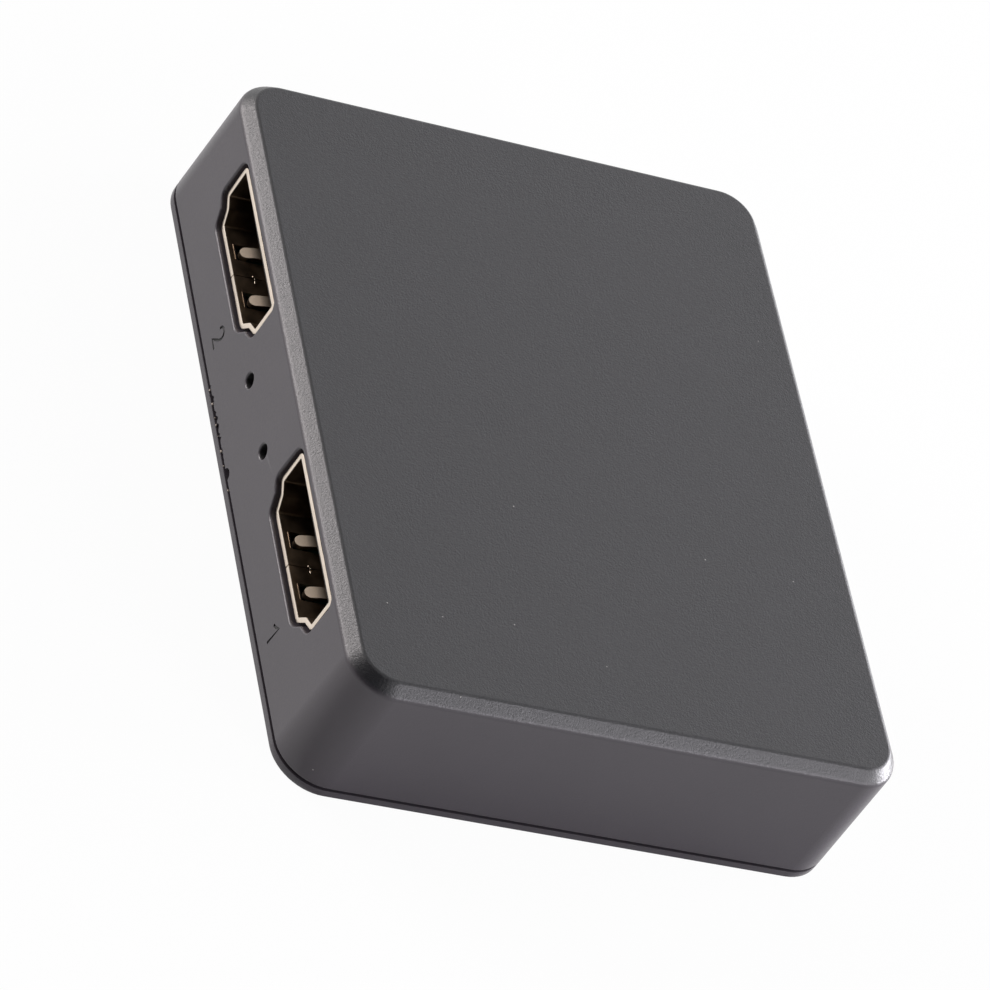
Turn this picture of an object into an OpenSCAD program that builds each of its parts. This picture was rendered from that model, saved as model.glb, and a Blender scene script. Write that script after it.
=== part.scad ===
// Two-way video splitter: one input socket feeds two output sockets.
// The origin is the middle of the underside, +Z is up and the output sockets face -Y.

/* [Case] */
// Width of the case at the seam, along the row of output sockets
case_w = 63.5; // [60:0.5:80]
// Depth of the case at the seam, from the output side to the input side
case_d = 50.5; // [49:0.5:70]
// Height of the closed case
case_h = 13.5; // [12.8:0.1:18]
// Radius of the upright corners at the seam
corner_r = 4.1; // [3.5:0.1:6]
// Lean of each side over its height, which frees the moulding from its tool
draft = 0.28; // [0.1:0.02:0.5]
// Width of the bevel round the top, seen from above
bevel_w = 0.85; // [0.4:0.05:1.2]
// Height of the bevel round the top
bevel_h = 1.05; // [0.5:0.05:1.2]
// Thickness of the side walls
wall = 1.6; // [1.2:0.1:2]
// Thickness of the top
top_t = 1.6; // [1.2:0.1:2]
// Radius of the scooped pry notch in the case's lower edge
notch_r = 0.7; // [0.4:0.1:1]
// Depth of the pry notch in the case's side
notch_deep = 0.3; // [0.1:0.05:0.5]
// Distance of the pry notch from the middle of the output side
notch_x = 1.5; // [0:0.1:5]

/* [Bottom cover] */
// Thickness of the cover's plate, whose edge shows under the seam
cover_t = 0.75; // [0.7:0.05:1.2]
// Bevel round the cover's lower edge
cover_edge = 0.1; // [0.05:0.05:0.4]
// Open seam between the cover and the case
seam_gap = 0.25; // [0.05:0.05:0.3]
// Clearance between pieces that slide together by hand
fit_gap = 0.15; // [0.1:0.05:0.25]
// Thickness of the floor inside the lip
floor_t = 1.3; // [1:0.1:2]
// Height of the locating lip above the plate
lip_h = 1.6; // [1:0.1:2.5]
// Thickness of the locating lip
lip_t = 1; // [0.8:0.1:1.2]
// Width of a snap hook
hook_w = 5; // [3:0.5:8]
// Thickness of a snap hook
hook_t = 1; // [0.8:0.1:1.2]
// Clearance between a snap hook and the board above it
hook_gap = 0.45; // [0.2:0.05:1]
// How far a snap hook bites into the case
hook_bite = 0.45; // [0.3:0.05:0.6]
// Distance of the side hooks from the middle
hook_y = 12; // [8:0.5:14]

/* [Board] */
// Thickness of the circuit board
board_t = 1.6; // [1:0.1:1.6]
// Clearance between the board's edge and the case
board_gap = 0.2; // [0.1:0.05:0.5]
// Distance of the board's posts from the case's sides
post_inset = 4.9; // [4.6:0.1:5.4]
// Radius of the posts on the case
post_r = 2.2; // [2:0.1:2.4]
// Wall of the tubes on the cover, round the screw heads
tube_wall = 0.8; // [0.6:0.1:1]
// Radius of the board's screws
screw_r = 1; // [0.8:0.1:1.2]
// Radius of a screw's head
screw_head_r = 1.8; // [1.6:0.1:2]
// Height of a screw's head
screw_head_h = 1.2; // [0.8:0.1:1.4]
// Length of a screw in its post
screw_bite = 4; // [3:0.5:4.5]
// Radius of the locating pins
pin_r = 1; // [0.7:0.1:1.2]
// Clearance round a screw or a pin in its hole
hole_gap = 0.1; // [0.05:0.05:0.3]

/* [Video sockets] */
// Distance between the two output sockets
port_pitch = 29.8; // [29:0.1:31]
// Distance of the row of outputs and lights from the middle, towards -X
row_off = 0.2; // [0:0.05:0.5]
// How far a socket's mouth lies behind the case's side
port_recess = 0.3; // [0:0.1:0.6]
// Clearance round a socket in the case's opening
port_gap = 0.45; // [0.3:0.05:0.6]
// Clearance between the video sockets and the case's top
ceiling_gap = 0.2; // [0.1:0.05:0.4]
// Width of the mouth
av_w = 14.2; // [13.5:0.1:14.5]
// Height of the mouth
av_h = 4.6; // [4.3:0.05:4.8]
// Width of the mouth's narrow wall
av_narrow = 10.4; // [9.5:0.1:10.5]
// Height of the shoulder, where the upright sides end
av_shoulder = 1.61; // [1.4:0.05:1.8]
// Thickness of the stamped sheet
av_sheet = 0.45; // [0.25:0.05:0.5]
// Length of a socket from mouth to back
av_len = 11.2; // [10.8:0.1:12]
// Height of a socket's shell above the board
av_lift = 0.25; // [0.15:0.05:0.4]
// Width of a spring finger
finger_w = 1.1; // [0.9:0.1:1.4]
// Distance of the spring fingers from the socket's middle
finger_x = 2.55; // [2:0.05:3]
// Depth of a spring finger's tip in the mouth
finger_tip = 0.9; // [0.8:0.05:1.5]
// Length of a spring finger
finger_len = 5.6; // [4:0.1:6]
// How far a spring finger stands into the mouth
finger_lift = 0.4; // [0.2:0.05:0.5]
// Width of the slot round a spring finger
finger_slot = 0.3; // [0.2:0.05:0.4]
// Width of a mounting leg
leg_w = 1.4; // [1:0.1:1.8]
// Length of a leg below the board
leg_out = 0.6; // [0.3:0.1:1]
// Clearance round a leg in the board
leg_gap = 0.2; // [0.1:0.05:0.3]
// Width of the tongue
tongue_w = 10.6; // [10.2:0.1:11]
// Thickness of the tongue
tongue_t = 1.75; // [1.5:0.05:2]
// Depth of the tongue's front in the mouth
tongue_in = 1.6; // [1.4:0.1:2.2]
// Gap above the tongue
tongue_gap = 1; // [0.9:0.05:1.2]
// Contacts in the tongue's upper row
contact_count = 10; // [4:1:10]
// Distance between the contacts of a row
contact_pitch = 1; // [0.9:0.02:1.04]
// Length of the contacts' feet behind the socket
contact_foot = 0.8; // [0.4:0.1:1.2]
// Width of a contact
contact_w = 0.3; // [0.2:0.02:0.4]
// Thickness of a contact
contact_t = 0.18; // [0.12:0.02:0.24]

/* [Power socket] */
// Distance of the power socket from the middle of the input side
power_x = 17; // [15:0.5:18]
// Width of the mouth
power_w = 6.9; // [6.5:0.1:7.2]
// Height of the mouth
power_h = 1.85; // [1.7:0.05:2]
// Width of the mouth's narrow wall
power_narrow = 5.4; // [5:0.1:5.8]
// Thickness of the stamped sheet
power_sheet = 0.25; // [0.2:0.05:0.3]
// Length of the socket from mouth to back
power_len = 5.2; // [4.8:0.1:6]
// Height of the shell above the board
power_lift = 0.15; // [0.1:0.05:0.3]
// Width of the tongue
power_tongue_w = 3.7; // [3.4:0.1:4]
// Thickness of the tongue
power_tongue_t = 0.65; // [0.5:0.05:0.75]
// Depth of the tongue's front in the mouth
power_tongue_in = 0.9; // [0.6:0.1:1.2]
// Gap under the tongue
power_tongue_gap = 0.9; // [0.8:0.05:1]
// Distance between the contacts
power_pitch = 0.65; // [0.6:0.01:0.68]
// Length of the contacts' feet behind the socket
power_foot = 0.7; // [0.4:0.1:1]
// Length of the flared lips at the mouth
lip_flare_len = 0.7; // [0.5:0.1:1]
// Rise of the flared lips at the mouth
lip_flare = 0.3; // [0.15:0.05:0.35]

/* [Status lights] */
// Distance of each light from the middle of the output side
light_x = 3.65; // [3:0.05:4.5]
// Height of the lights above the board
light_z = 0.7; // [0.5:0.05:0.8]
// Diameter of the holes in the case
light_hole = 1.4; // [1:0.1:1.8]
// Width of a light's body
light_w = 1.8; // [1.4:0.1:2.2]
// Depth of a light's body
light_d = 0.8; // [0.6:0.1:1.2]
// Distance of a light's face from the board's edge
light_inset = 0.5; // [0.35:0.05:0.8]
// Radius of a light's lens
lens_r = 0.5; // [0.3:0.05:0.5]

/* [Chips] */
// Side of the splitter chip's body
chip_w = 10; // [8:0.5:12]
// Thickness of the splitter chip's body
chip_t = 1.4; // [1:0.1:1.8]
// Leads along each side of the splitter chip
chip_leads = 16; // [8:1:18]
// Distance between the splitter chip's leads
chip_pitch = 0.5; // [0.4:0.02:0.52]
// Length of the memory chip
memory_w = 4.9; // [4.4:0.1:5.4]
// Depth of the memory chip
memory_d = 3.9; // [3.4:0.1:4.4]
// Distance between the memory chip's leads
memory_pitch = 1.27; // [1:0.01:1.27]
// Width of the regulator
regulator_w = 6.5; // [6:0.1:7]
// Depth of the regulator
regulator_d = 3.5; // [3.2:0.1:4]
// Distance between the regulator's leads
regulator_pitch = 2.3; // [1.9:0.1:2.3]
// Length of the crystal's can
crystal_w = 10.2; // [9:0.1:11]
// Depth of the crystal's can
crystal_d = 3.6; // [3:0.1:4]
// Height of the crystal's can
crystal_h = 3.2; // [2.5:0.1:3.6]
// Diameter of the bulk capacitors
bulk_dia = 5; // [4:0.1:5.4]
// Height of the bulk capacitors' cans
bulk_h = 4.2; // [3.5:0.1:4.4]
// Length of a small chip part
small_w = 1.6; // [1.2:0.1:2]
// Depth of a small chip part
small_d = 0.8; // [0.6:0.1:1]
// Distance between the small parts of a row
small_step = 2.6; // [2.4:0.1:3]
// Distance of the first row of small parts behind a video socket's feet
row_gap = 2; // [1:0.1:3]

/* [Hidden] */
$fn = 64;

// Overrun of a cut past the face that it opens
cut = 1;
// Overlap of two shapes that are one moulding or one stamping
bond = 0.3;

// Heights through the closed case
shell_low = cover_t + seam_gap;
bevel_low = case_h - bevel_h;
ceiling_z = case_h - top_t;
av_tall = av_lift + av_h + 2 * av_sheet;
board_top = ceiling_z - ceiling_gap - av_tall;
board_low = board_top - board_t;

// Centres of the upright corners, and the sides' lean at a height
core_x = case_w / 2 - corner_r;
core_y = case_d / 2 - corner_r;
function lean(z) = draft * (z - shell_low) / (bevel_low - shell_low);

// Places on the board and in the sides
inner_r = corner_r - wall;
board_r = inner_r - draft - board_gap;
board_half_w = core_x + board_r;
board_half_d = core_y + board_r;
post_x = case_w / 2 - post_inset;
post_y = case_d / 2 - post_inset;
av_floor = av_lift + av_sheet;
mouth_y = case_d / 2 - lean(board_top + av_floor + av_h / 2) - port_recess;
tongue_high = av_floor + av_h - tongue_gap;
tongue_low = tongue_high - tongue_t;
light_y = board_half_d - light_inset;
hook_h = board_low - cover_t - hook_gap;
foot_end = av_len + contact_foot;
row_y = mouth_y - foot_end - row_gap;
tube_r = screw_head_r + hole_gap + tube_wall;

// Plain profile functions
function reversed(points) = [for (i = [len(points) - 1 : -1 : 0]) points[i]];
function unit(v) = v / norm(v);
function left_of(v) = [-v[1], v[0]];

// Outline grown by a distance, corner by corner, for points that run anticlockwise
function grown(points, by) = [for (i = [0 : len(points) - 1])
    let (n = len(points),
        before = -left_of(unit(points[i] - points[(i + n - 1) % n])),
        after = -left_of(unit(points[(i + 1) % n] - points[i])))
    points[i] + by * (before + after) / (1 + before * after)];

// Outline with each corner turned into an arc of its own radius
arc_steps = 5;
function rounded(points, radii) = [for (i = [0 : len(points) - 1])
    let (n = len(points), p = points[i],
        u = unit(points[(i + n - 1) % n] - p), v = unit(points[(i + 1) % n] - p),
        half = acos(u * v) / 2, centre = p + unit(u + v) * radii[i] / sin(half),
        start = p + u * radii[i] / tan(half) - centre, end = p + v * radii[i] / tan(half) - centre,
        from = atan2(start[1], start[0]), sweep = atan2(end[1], end[0]) - from,
        turn = sweep > 180 ? sweep - 360 : sweep < -180 ? sweep + 360 : sweep)
    for (k = [0 : arc_steps])
        centre + radii[i] * [cos(from + turn * k / arc_steps), sin(from + turn * k / arc_steps)]];

// Mouth of a video socket: upright sides, a hollow shoulder and a narrow wall below
shoulder_in = 1.07;
shoulder_drop = 0.47;
av_mouth = [[av_narrow / 2, 0], [av_w / 2 - shoulder_in, av_shoulder - shoulder_drop],
    [av_w / 2, av_shoulder], [av_w / 2, av_h], [-av_w / 2, av_h], [-av_w / 2, av_shoulder],
    [shoulder_in - av_w / 2, av_shoulder - shoulder_drop], [-av_narrow / 2, 0]];
av_radii = [0.25, 0.6, 0.2, 0.15, 0.15, 0.2, 0.6, 0.25];
least_r = 0.1;
// The shoulder is hollow, so its radius falls by what the others gain
av_radius_sign = [1, -1, 1, 1, 1, 1, -1, 1];
function av_outline(by) = rounded(grown(av_mouth, by),
    [for (i = [0 : len(av_radii) - 1]) max(least_r, av_radii[i] + av_radius_sign[i] * by)]);

// Mouth of the power socket: flat above, with two slanted lower corners
power_slant = 0.75;
power_corner_r = 0.25;
power_mouth = [[power_narrow / 2, 0], [power_w / 2, power_slant], [power_w / 2, power_h],
    [-power_w / 2, power_h], [-power_w / 2, power_slant], [-power_narrow / 2, 0]];
function power_outline(by) = rounded(grown(power_mouth, by), [for (p = power_mouth) power_corner_r + by]);

// Extrusions of an upright outline along Y, and of a side view along X
module along_y(from, to) {
    translate([0, to, 0]) rotate([90, 0, 0]) linear_extrude(to - from) children();
}
module along_x(from, to) {
    translate([from, 0, 0]) rotate([90, 0, 90]) linear_extrude(to - from) children();
}

// Block with rounded upright corners, from a profile of [corner radius, height]
module rounded_block(profile) {
    wide = concat([for (p = profile) [core_x + p[0], p[1]]],
        reversed([for (p = profile) [-core_x - p[0], p[1]]]));
    deep = concat([for (p = profile) [core_y + p[0], p[1]]],
        reversed([for (p = profile) [-core_y - p[0], p[1]]]));
    corner = concat([[0, profile[0][1]]], profile, [[0, profile[len(profile) - 1][1]]]);
    along_y(-core_y, core_y) polygon(wide);
    along_x(-core_x, core_x) polygon(deep);
    for (quarter = [[1, 1, 0], [-1, 1, 90], [-1, -1, 180], [1, -1, 270]])
        translate([quarter[0] * core_x, quarter[1] * core_y, 0])
            rotate([0, 0, quarter[2]]) rotate_extrude(angle = 90) polygon(corner);
}

// Places of the board's posts: two corners are screwed and two have pins
module at_screws() {
    for (s = [-1, 1]) translate([s * post_x, s * post_y, 0]) children();
}
module at_pins() {
    for (s = [-1, 1]) translate([s * post_x, -s * post_y, 0]) children();
}

// Places of the sockets on the board
module at_output(side) {
    translate([side * port_pitch / 2 - row_off, -mouth_y, board_top]) children();
}
module at_input() {
    translate([0, mouth_y, board_top]) rotate([0, 0, 180]) children();
}
module at_power() {
    translate([-power_x, mouth_y, board_top]) rotate([0, 0, 180]) children();
}
module at_video_sockets() {
    at_output(1) children();
    at_output(-1) children();
    at_input() children();
}

// Snap hooks: each points along +X at the case's inner wall
module at_hooks() {
    for (side = [0, 180], y = [-hook_y, hook_y])
        rotate([0, 0, side]) translate([case_w / 2 - wall, y, 0]) children();
    for (side = [90, 270])
        rotate([0, 0, side]) translate([case_d / 2 - wall, 0, 0]) children();
}
barb_h = 1.2;
barb_lead = 0.8;
barb_low = hook_h - barb_h;
module hook() {
    face = -fit_gap;
    tip = face + hook_bite;
    translate([0, -hook_w / 2, cover_t - bond]) rotate([90, 0, 0]) mirror([0, 0, 1])
        linear_extrude(hook_w)
            polygon([[face - hook_t, 0], [face, 0], [face, barb_low + bond],
                [tip, barb_low + bond], [tip, hook_h - barb_lead + bond],
                [face, hook_h + bond], [face - hook_t, hook_h + bond]]);
}
module hook_pocket() {
    inward = draft + fit_gap;
    low = cover_t + barb_low - fit_gap;
    translate([-inward, -hook_w / 2 - fit_gap, low])
        cube([inward + hook_bite, hook_w + 2 * fit_gap, hook_h - barb_low + 2 * fit_gap]);
}

// Case: a drafted, bevelled tray, turned over, with posts for the board
module top_shell() {
    color("dimgray") difference() {
        union() {
            difference() {
                rounded_block([[corner_r, shell_low], [corner_r - draft, bevel_low],
                    [corner_r - draft - bevel_w, case_h]]);
                rounded_block([[inner_r, shell_low - cut], [inner_r - draft, ceiling_z]]);
            }
            at_screws() post();
            at_pins() {
                post();
                translate([0, 0, board_low - hole_gap])
                    cylinder(r = pin_r, h = board_t + hole_gap + bond);
            }
        }
        at_screws() translate([0, 0, board_top - cut])
            cylinder(r = screw_r + hole_gap, h = screw_bite + hole_gap + cut);
        at_hooks() hook_pocket();
        at_video_sockets() translate([0, 0, av_floor])
            along_y(-port_recess - draft - cut, wall + draft + cut)
                polygon(av_outline(av_sheet + port_gap));
        at_power() translate([0, 0, power_lift + power_sheet])
            along_y(-port_recess - draft - cut, wall + draft + cut)
                polygon(power_outline(power_sheet + port_gap));
        for (s = [-1, 1]) translate([s * light_x - row_off, -case_d / 2 - cut, board_top + light_z])
            rotate([-90, 0, 0]) cylinder(d = light_hole, h = wall + draft + 2 * cut);
        translate([notch_x, notch_deep - notch_r - case_d / 2, shell_low]) sphere(r = notch_r);
    }
}
module post() {
    translate([0, 0, board_top]) cylinder(r = post_r, h = ceiling_z - board_top + bond);
}

// Cover: a plate with a locating lip, snap hooks and tubes under the board
module bottom_cover() {
    lip_r = inner_r - fit_gap;
    color("dimgray") difference() {
        union() {
            rounded_block([[corner_r - cover_edge, 0], [corner_r, cover_edge], [corner_r, cover_t]]);
            difference() {
                rounded_block([[lip_r, cover_t - bond], [lip_r, cover_t + lip_h]]);
                rounded_block([[lip_r - lip_t, floor_t], [lip_r - lip_t, cover_t + lip_h + cut]]);
            }
            at_hooks() hook();
            at_screws() tube();
            at_pins() tube();
        }
        at_screws() tube_bore();
        at_pins() tube_bore();
    }
}
module tube() {
    translate([0, 0, floor_t - bond]) cylinder(r = tube_r, h = board_low - floor_t + bond);
}
module tube_bore() {
    translate([0, 0, floor_t]) cylinder(r = tube_r - tube_wall, h = board_low - floor_t + cut);
}

// Circuit board, with holes for the posts and slots for the sockets' legs
module circuit_board() {
    color("darkgreen") difference() {
        rounded_block([[board_r, board_low], [board_r, board_top]]);
        at_screws() board_hole(screw_r);
        at_pins() board_hole(pin_r);
        at_video_sockets() at_legs(av_w, av_sheet, av_leg_ys) leg_slot(av_sheet);
        at_power() at_legs(power_w, power_sheet, power_leg_ys) leg_slot(power_sheet);
    }
}
module board_hole(r) {
    translate([0, 0, board_low - cut]) cylinder(r = r + hole_gap, h = board_t + 2 * cut);
}

// Screws that hold the board to the case, heads below
module board_screws() {
    slot = 0.35;
    color("silver") at_screws() translate([0, 0, board_low]) difference() {
        union() {
            translate([0, 0, -screw_head_h]) cylinder(r = screw_head_r, h = screw_head_h);
            cylinder(r = screw_r, h = board_t + screw_bite);
        }
        for (turn = [0, 90]) rotate([0, 0, turn])
            translate([-screw_head_r / 2, -slot / 2, -screw_head_h - cut])
                cube([screw_head_r, slot, cut + screw_head_h / 2]);
    }
}

// Legs of a socket: two on each side, flush with the stamped sides
leg_front = 3.4;
leg_back = 2.8;
power_leg_front = 2.2;
av_leg_ys = [leg_front, av_len - leg_back];
power_leg_ys = [power_leg_front];
module at_legs(width, sheet, ys) {
    for (s = [-1, 1], y = ys) translate([s * (width + sheet) / 2, y, 0]) children();
}
module leg_slot(sheet) {
    translate([-sheet / 2 - leg_gap, -leg_w / 2 - leg_gap, -board_t - cut])
        cube([sheet + 2 * leg_gap, leg_w + 2 * leg_gap, board_t + 2 * cut]);
}
module leg(sheet, top) {
    below = board_t + leg_out;
    translate([-sheet / 2, -leg_w / 2, -below]) cube([sheet, leg_w, below + top]);
}

// Spring finger on the narrow wall: it rises from its root and dips again at the tip
function finger_plan(grow) = let (r = finger_w / 2 + grow, end = finger_tip + finger_w / 2)
    concat([[r, finger_root], [-r, finger_root]],
        [for (a = [180 : 15 : 360]) [r * cos(a), end + r * sin(a)]]);
module finger_slot_cut() {
    translate([0, 0, -av_sheet - cut]) linear_extrude(av_sheet + 2 * cut)
        polygon(finger_plan(finger_slot));
}
finger_root = finger_tip + finger_len;
tip_len = 2;
tip_rise = 0.05;
crest_len = 0.7;
module finger() {
    crest_from = finger_tip + tip_len;
    crest_to = crest_from + crest_len;
    upper = [[finger_root + bond, 0], [finger_root, 0], [crest_to, finger_lift], [crest_from, finger_lift],
        [finger_tip, tip_rise]];
    intersection() {
        along_x(-finger_w, finger_w)
            polygon(concat(upper, reversed([for (p = upper) p - [0, av_sheet]])));
        union() {
            translate([0, 0, -cut]) linear_extrude(2 * cut) polygon(finger_plan(0));
            translate([-finger_w / 2, finger_root - bond, -cut]) cube([finger_w, 2 * bond, 2 * cut]);
        }
    }
}
module at_fingers() {
    for (s = [-1, 1]) {
        translate([s * finger_x, 0, av_floor]) children();
        translate([s * finger_x, 0, av_floor + av_h]) mirror([0, 0, 1]) children();
    }
}

// Stamped shell of a video socket: a rolled tube with a butt seam, fingers, legs and a rear flap
floor_cutback = 2.4;
av_floor_len = av_len - floor_cutback;
butt_gap = 0.08;
flap_low = 1.6;
leg_lap = 1;
module video_shell() {
    flap_w = av_narrow;
    color("tan") {
        difference() {
            translate([0, 0, av_floor]) difference() {
                along_y(0, av_len) polygon(av_outline(av_sheet));
                along_y(-cut, av_len + cut) polygon(av_outline(0));
            }
            at_fingers() finger_slot_cut();
            translate([-butt_gap / 2, -cut, av_lift - cut])
                cube([butt_gap, av_len + 2 * cut, av_sheet + 2 * cut]);
            translate([-av_w / 2, av_floor_len, av_lift - cut]) cube([av_w, av_len, av_sheet + cut]);
        }
        at_fingers() finger();
        at_legs(av_w, av_sheet, av_leg_ys) leg(av_sheet, av_floor + av_shoulder + leg_lap);
        translate([-flap_w / 2, av_len - av_sheet, flap_low])
            cube([flap_w, av_sheet, av_floor + av_h + av_sheet / 2 - flap_low]);
    }
}

// Contacts of a video socket: along the tongue, down its back and out on the board
contact_proud = 0.06;
contact_back = 0.35;
upper_drop_in = 1;
lower_drop_in = 1.8;
contact_tip = tongue_in + contact_back;
upper_drop = av_len - upper_drop_in;
lower_drop = av_len - lower_drop_in;
function contact_side(top, drop) = [[contact_tip, top], [drop, top], [drop, contact_t],
    [foot_end, contact_t], [foot_end, 0], [drop - contact_t, 0], [drop - contact_t, top - contact_t],
    [contact_tip, top - contact_t]];
module contact_row(count, top, drop) {
    for (i = [0 : count - 1]) let (x = (i - (count - 1) / 2) * contact_pitch)
        along_x(x - contact_w / 2, x + contact_w / 2) polygon(contact_side(top, drop));
}
module video_contacts() {
    color("gold") {
        contact_row(contact_count, tongue_high + contact_proud, upper_drop);
        contact_row(contact_count - 1, tongue_low - contact_proud + contact_t, lower_drop);
    }
}

// Moulding of a video socket: a tongue on a block that fills the shell's back
play = 0.03;
block_front = finger_root + bond + play;
tongue_edge = 0.3;
foot_side = 0.2;
module video_insulator() {
    block_back = av_len - av_sheet - play;
    foot_front = av_floor_len + play;
    foot_w = av_narrow - 2 * foot_side;
    color("#202020") difference() {
        union() {
            along_x(-tongue_w / 2, tongue_w / 2)
                polygon([[block_front + bond, tongue_low], [block_front + bond, tongue_high],
                    [tongue_in + tongue_edge, tongue_high], [tongue_in, tongue_high - tongue_edge],
                    [tongue_in, tongue_low + tongue_edge], [tongue_in + tongue_edge, tongue_low]]);
            translate([0, 0, av_floor]) along_y(block_front, block_back) polygon(av_outline(-play));
            translate([-foot_w / 2, foot_front, 0])
                cube([foot_w, block_back - foot_front, av_floor + av_shoulder]);
        }
        contact_row(contact_count, tongue_high + contact_proud, upper_drop);
        contact_row(contact_count - 1, tongue_low - contact_proud + contact_t, lower_drop);
    }
}

// Power socket: a smaller stamped shell with a thin tongue and five contacts
power_floor = power_lift + power_sheet;
power_tongue_low = power_floor + power_tongue_gap;
power_block_len = 1.8;
power_floor_lap = 0.4;
power_block = power_len - power_block_len;
power_floor_len = power_block + power_floor_lap;
power_contact_w = 0.3;
module flared_lip() {
    lip_w = power_narrow;
    along_x(-lip_w / 2, lip_w / 2)
        polygon([[0, lip_flare], [lip_flare_len, 0], [lip_flare_len + bond, 0],
            [lip_flare_len + bond, power_sheet], [lip_flare_len, power_sheet], [0, lip_flare + power_sheet]]);
}
module power_shell() {
    color("silver") {
        translate([0, 0, power_floor]) difference() {
            along_y(0, power_len) polygon(power_outline(power_sheet));
            along_y(-cut, power_len + cut) polygon(power_outline(0));
            translate([-power_w / 2, power_floor_len, -power_sheet - cut])
                cube([power_w, power_len, power_sheet + cut]);
            translate([-power_narrow / 2, -cut, power_h])
                cube([power_narrow, lip_flare_len + cut, power_sheet + cut]);
        }
        translate([0, 0, power_floor + power_h]) flared_lip();
        at_legs(power_w, power_sheet, power_leg_ys) leg(power_sheet, power_floor + power_slant + bond);
    }
}
power_contact_back = 0.3;
power_drop_in = 0.6;
power_contact_tip = power_tongue_in + power_contact_back;
power_foot_end = power_len + power_foot;
power_drop = power_len - power_drop_in;
function power_contact_side(top) = [[power_contact_tip, top], [power_drop, top], [power_drop, contact_t],
    [power_foot_end, contact_t], [power_foot_end, 0], [power_drop - contact_t, 0],
    [power_drop - contact_t, top - contact_t], [power_contact_tip, top - contact_t]];
module power_contact_row() {
    for (i = [-2 : 2])
        along_x(i * power_pitch - power_contact_w / 2, i * power_pitch + power_contact_w / 2)
            polygon(power_contact_side(power_tongue_low + contact_t - contact_proud));
}
module power_insulator() {
    color("#202020") difference() {
        union() {
            translate([-power_tongue_w / 2, power_tongue_in, power_tongue_low])
                cube([power_tongue_w, power_block + bond - power_tongue_in, power_tongue_t]);
            translate([0, 0, power_floor]) along_y(power_block, power_len) polygon(power_outline(-play));
            translate([-power_tongue_w / 2, power_floor_len + play, 0])
                cube([power_tongue_w, power_len - power_floor_len - play, power_floor + power_slant]);
        }
        power_contact_row();
    }
}
module power_contacts() {
    color("gold") power_contact_row();
}

// Gull-wing lead: out of the body, down and flat on the board
lead_t = 0.15;
lead_rise = 0.6;
lead_reach = 1;
module lead(width) {
    along_y(-width / 2, width / 2)
        polygon([[0, lead_rise + lead_t], [lead_reach / 2, lead_rise + lead_t],
            [lead_reach / 2 + lead_t, lead_t], [lead_reach, lead_t], [lead_reach, 0], [lead_reach / 2, 0],
            [lead_reach / 2 - lead_t, lead_rise], [0, lead_rise]]);
}
chip_stand = 0.1;
module splitter_chip() {
    dimple_r = 0.5;
    dimple_in = 1.2;
    dimple_deep = 0.1;
    color("#303030") translate([0, 0, board_top + chip_stand]) difference() {
        translate([-chip_w / 2, -chip_w / 2, 0]) cube([chip_w, chip_w, chip_t]);
        translate([dimple_in - chip_w / 2, dimple_in - chip_w / 2, chip_t - dimple_deep])
            cylinder(r = dimple_r, h = cut);
    }
}
module splitter_chip_leads() {
    lead_w = 0.22;
    color("silver") for (side = [0, 90, 180, 270], i = [0 : chip_leads - 1])
        rotate([0, 0, side]) translate([chip_w / 2, (i - (chip_leads - 1) / 2) * chip_pitch, board_top])
            lead(lead_w);
}

// Memory chip with four leads on each long side
memory_inset = 14.7;
memory_x = board_half_w - memory_inset;
memory_y = 7;
memory_t = 1.45;
module at_memory() {
    translate([memory_x, memory_y, board_top]) children();
}
module memory_chip() {
    color("#303030") at_memory() translate([-memory_w / 2, -memory_d / 2, chip_stand])
        cube([memory_w, memory_d, memory_t]);
}
module memory_chip_leads() {
    lead_w = 0.4;
    color("silver") at_memory() for (side = [90, 270], i = [-1.5 : 1.5])
        rotate([0, 0, side]) translate([memory_d / 2, i * memory_pitch, 0]) lead(lead_w);
}

// Regulator with three leads and a cooling tab
regulator_inset = 14.2;
regulator_x = regulator_inset - board_half_w;
regulator_y = 10;
regulator_t = 1.6;
module at_regulator() {
    translate([regulator_x, regulator_y, board_top]) children();
}
module regulator() {
    color("#303030") at_regulator() translate([-regulator_w / 2, -regulator_d / 2, chip_stand])
        cube([regulator_w, regulator_d, regulator_t]);
}
module regulator_leads() {
    lead_w = 0.7;
    tab_w = 3;
    color("silver") at_regulator() {
        for (i = [-1 : 1]) rotate([0, 0, 270]) translate([regulator_d / 2, i * regulator_pitch, 0])
            lead(lead_w);
        rotate([0, 0, 90]) translate([regulator_d / 2, 0, 0]) lead(tab_w);
    }
}

// Crystal: a pressed can with round ends, on a base plate with two strip leads
crystal_gap = 2.1;
crystal_y = -2;
crystal_base_t = 0.8;
base_rim = 0.5;
strip_len = 2.6;
crystal_end = crystal_w / 2 + base_rim + strip_len / 2;
crystal_x = chip_w / 2 + lead_reach + crystal_gap + crystal_end;
module at_crystal() {
    translate([crystal_x, crystal_y, board_top]) children();
}
module stadium(width, depth, height) {
    translate([(depth - width) / 2, -depth / 2, 0]) cube([width - depth, depth, height]);
    for (s = [-1, 1]) translate([s * (width - depth) / 2, 0, 0]) rotate([0, 0, -s * 90])
        rotate_extrude(angle = 180) square([depth / 2, height]);
}
module crystal_base() {
    color("#404040") at_crystal() translate([0, 0, lead_t])
        stadium(crystal_w + 2 * base_rim, crystal_d + 2 * base_rim, crystal_base_t);
}
module crystal_can() {
    color("silver") at_crystal() translate([0, 0, lead_t + crystal_base_t])
        stadium(crystal_w, crystal_d, crystal_h);
}
module crystal_leads() {
    strip_w = 0.6;
    color("silver") at_crystal() for (s = [-1, 1])
        translate([s * (crystal_w / 2 + base_rim) - strip_len / 2, -strip_w / 2, 0])
            cube([strip_len, strip_w, lead_t]);
}

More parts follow.
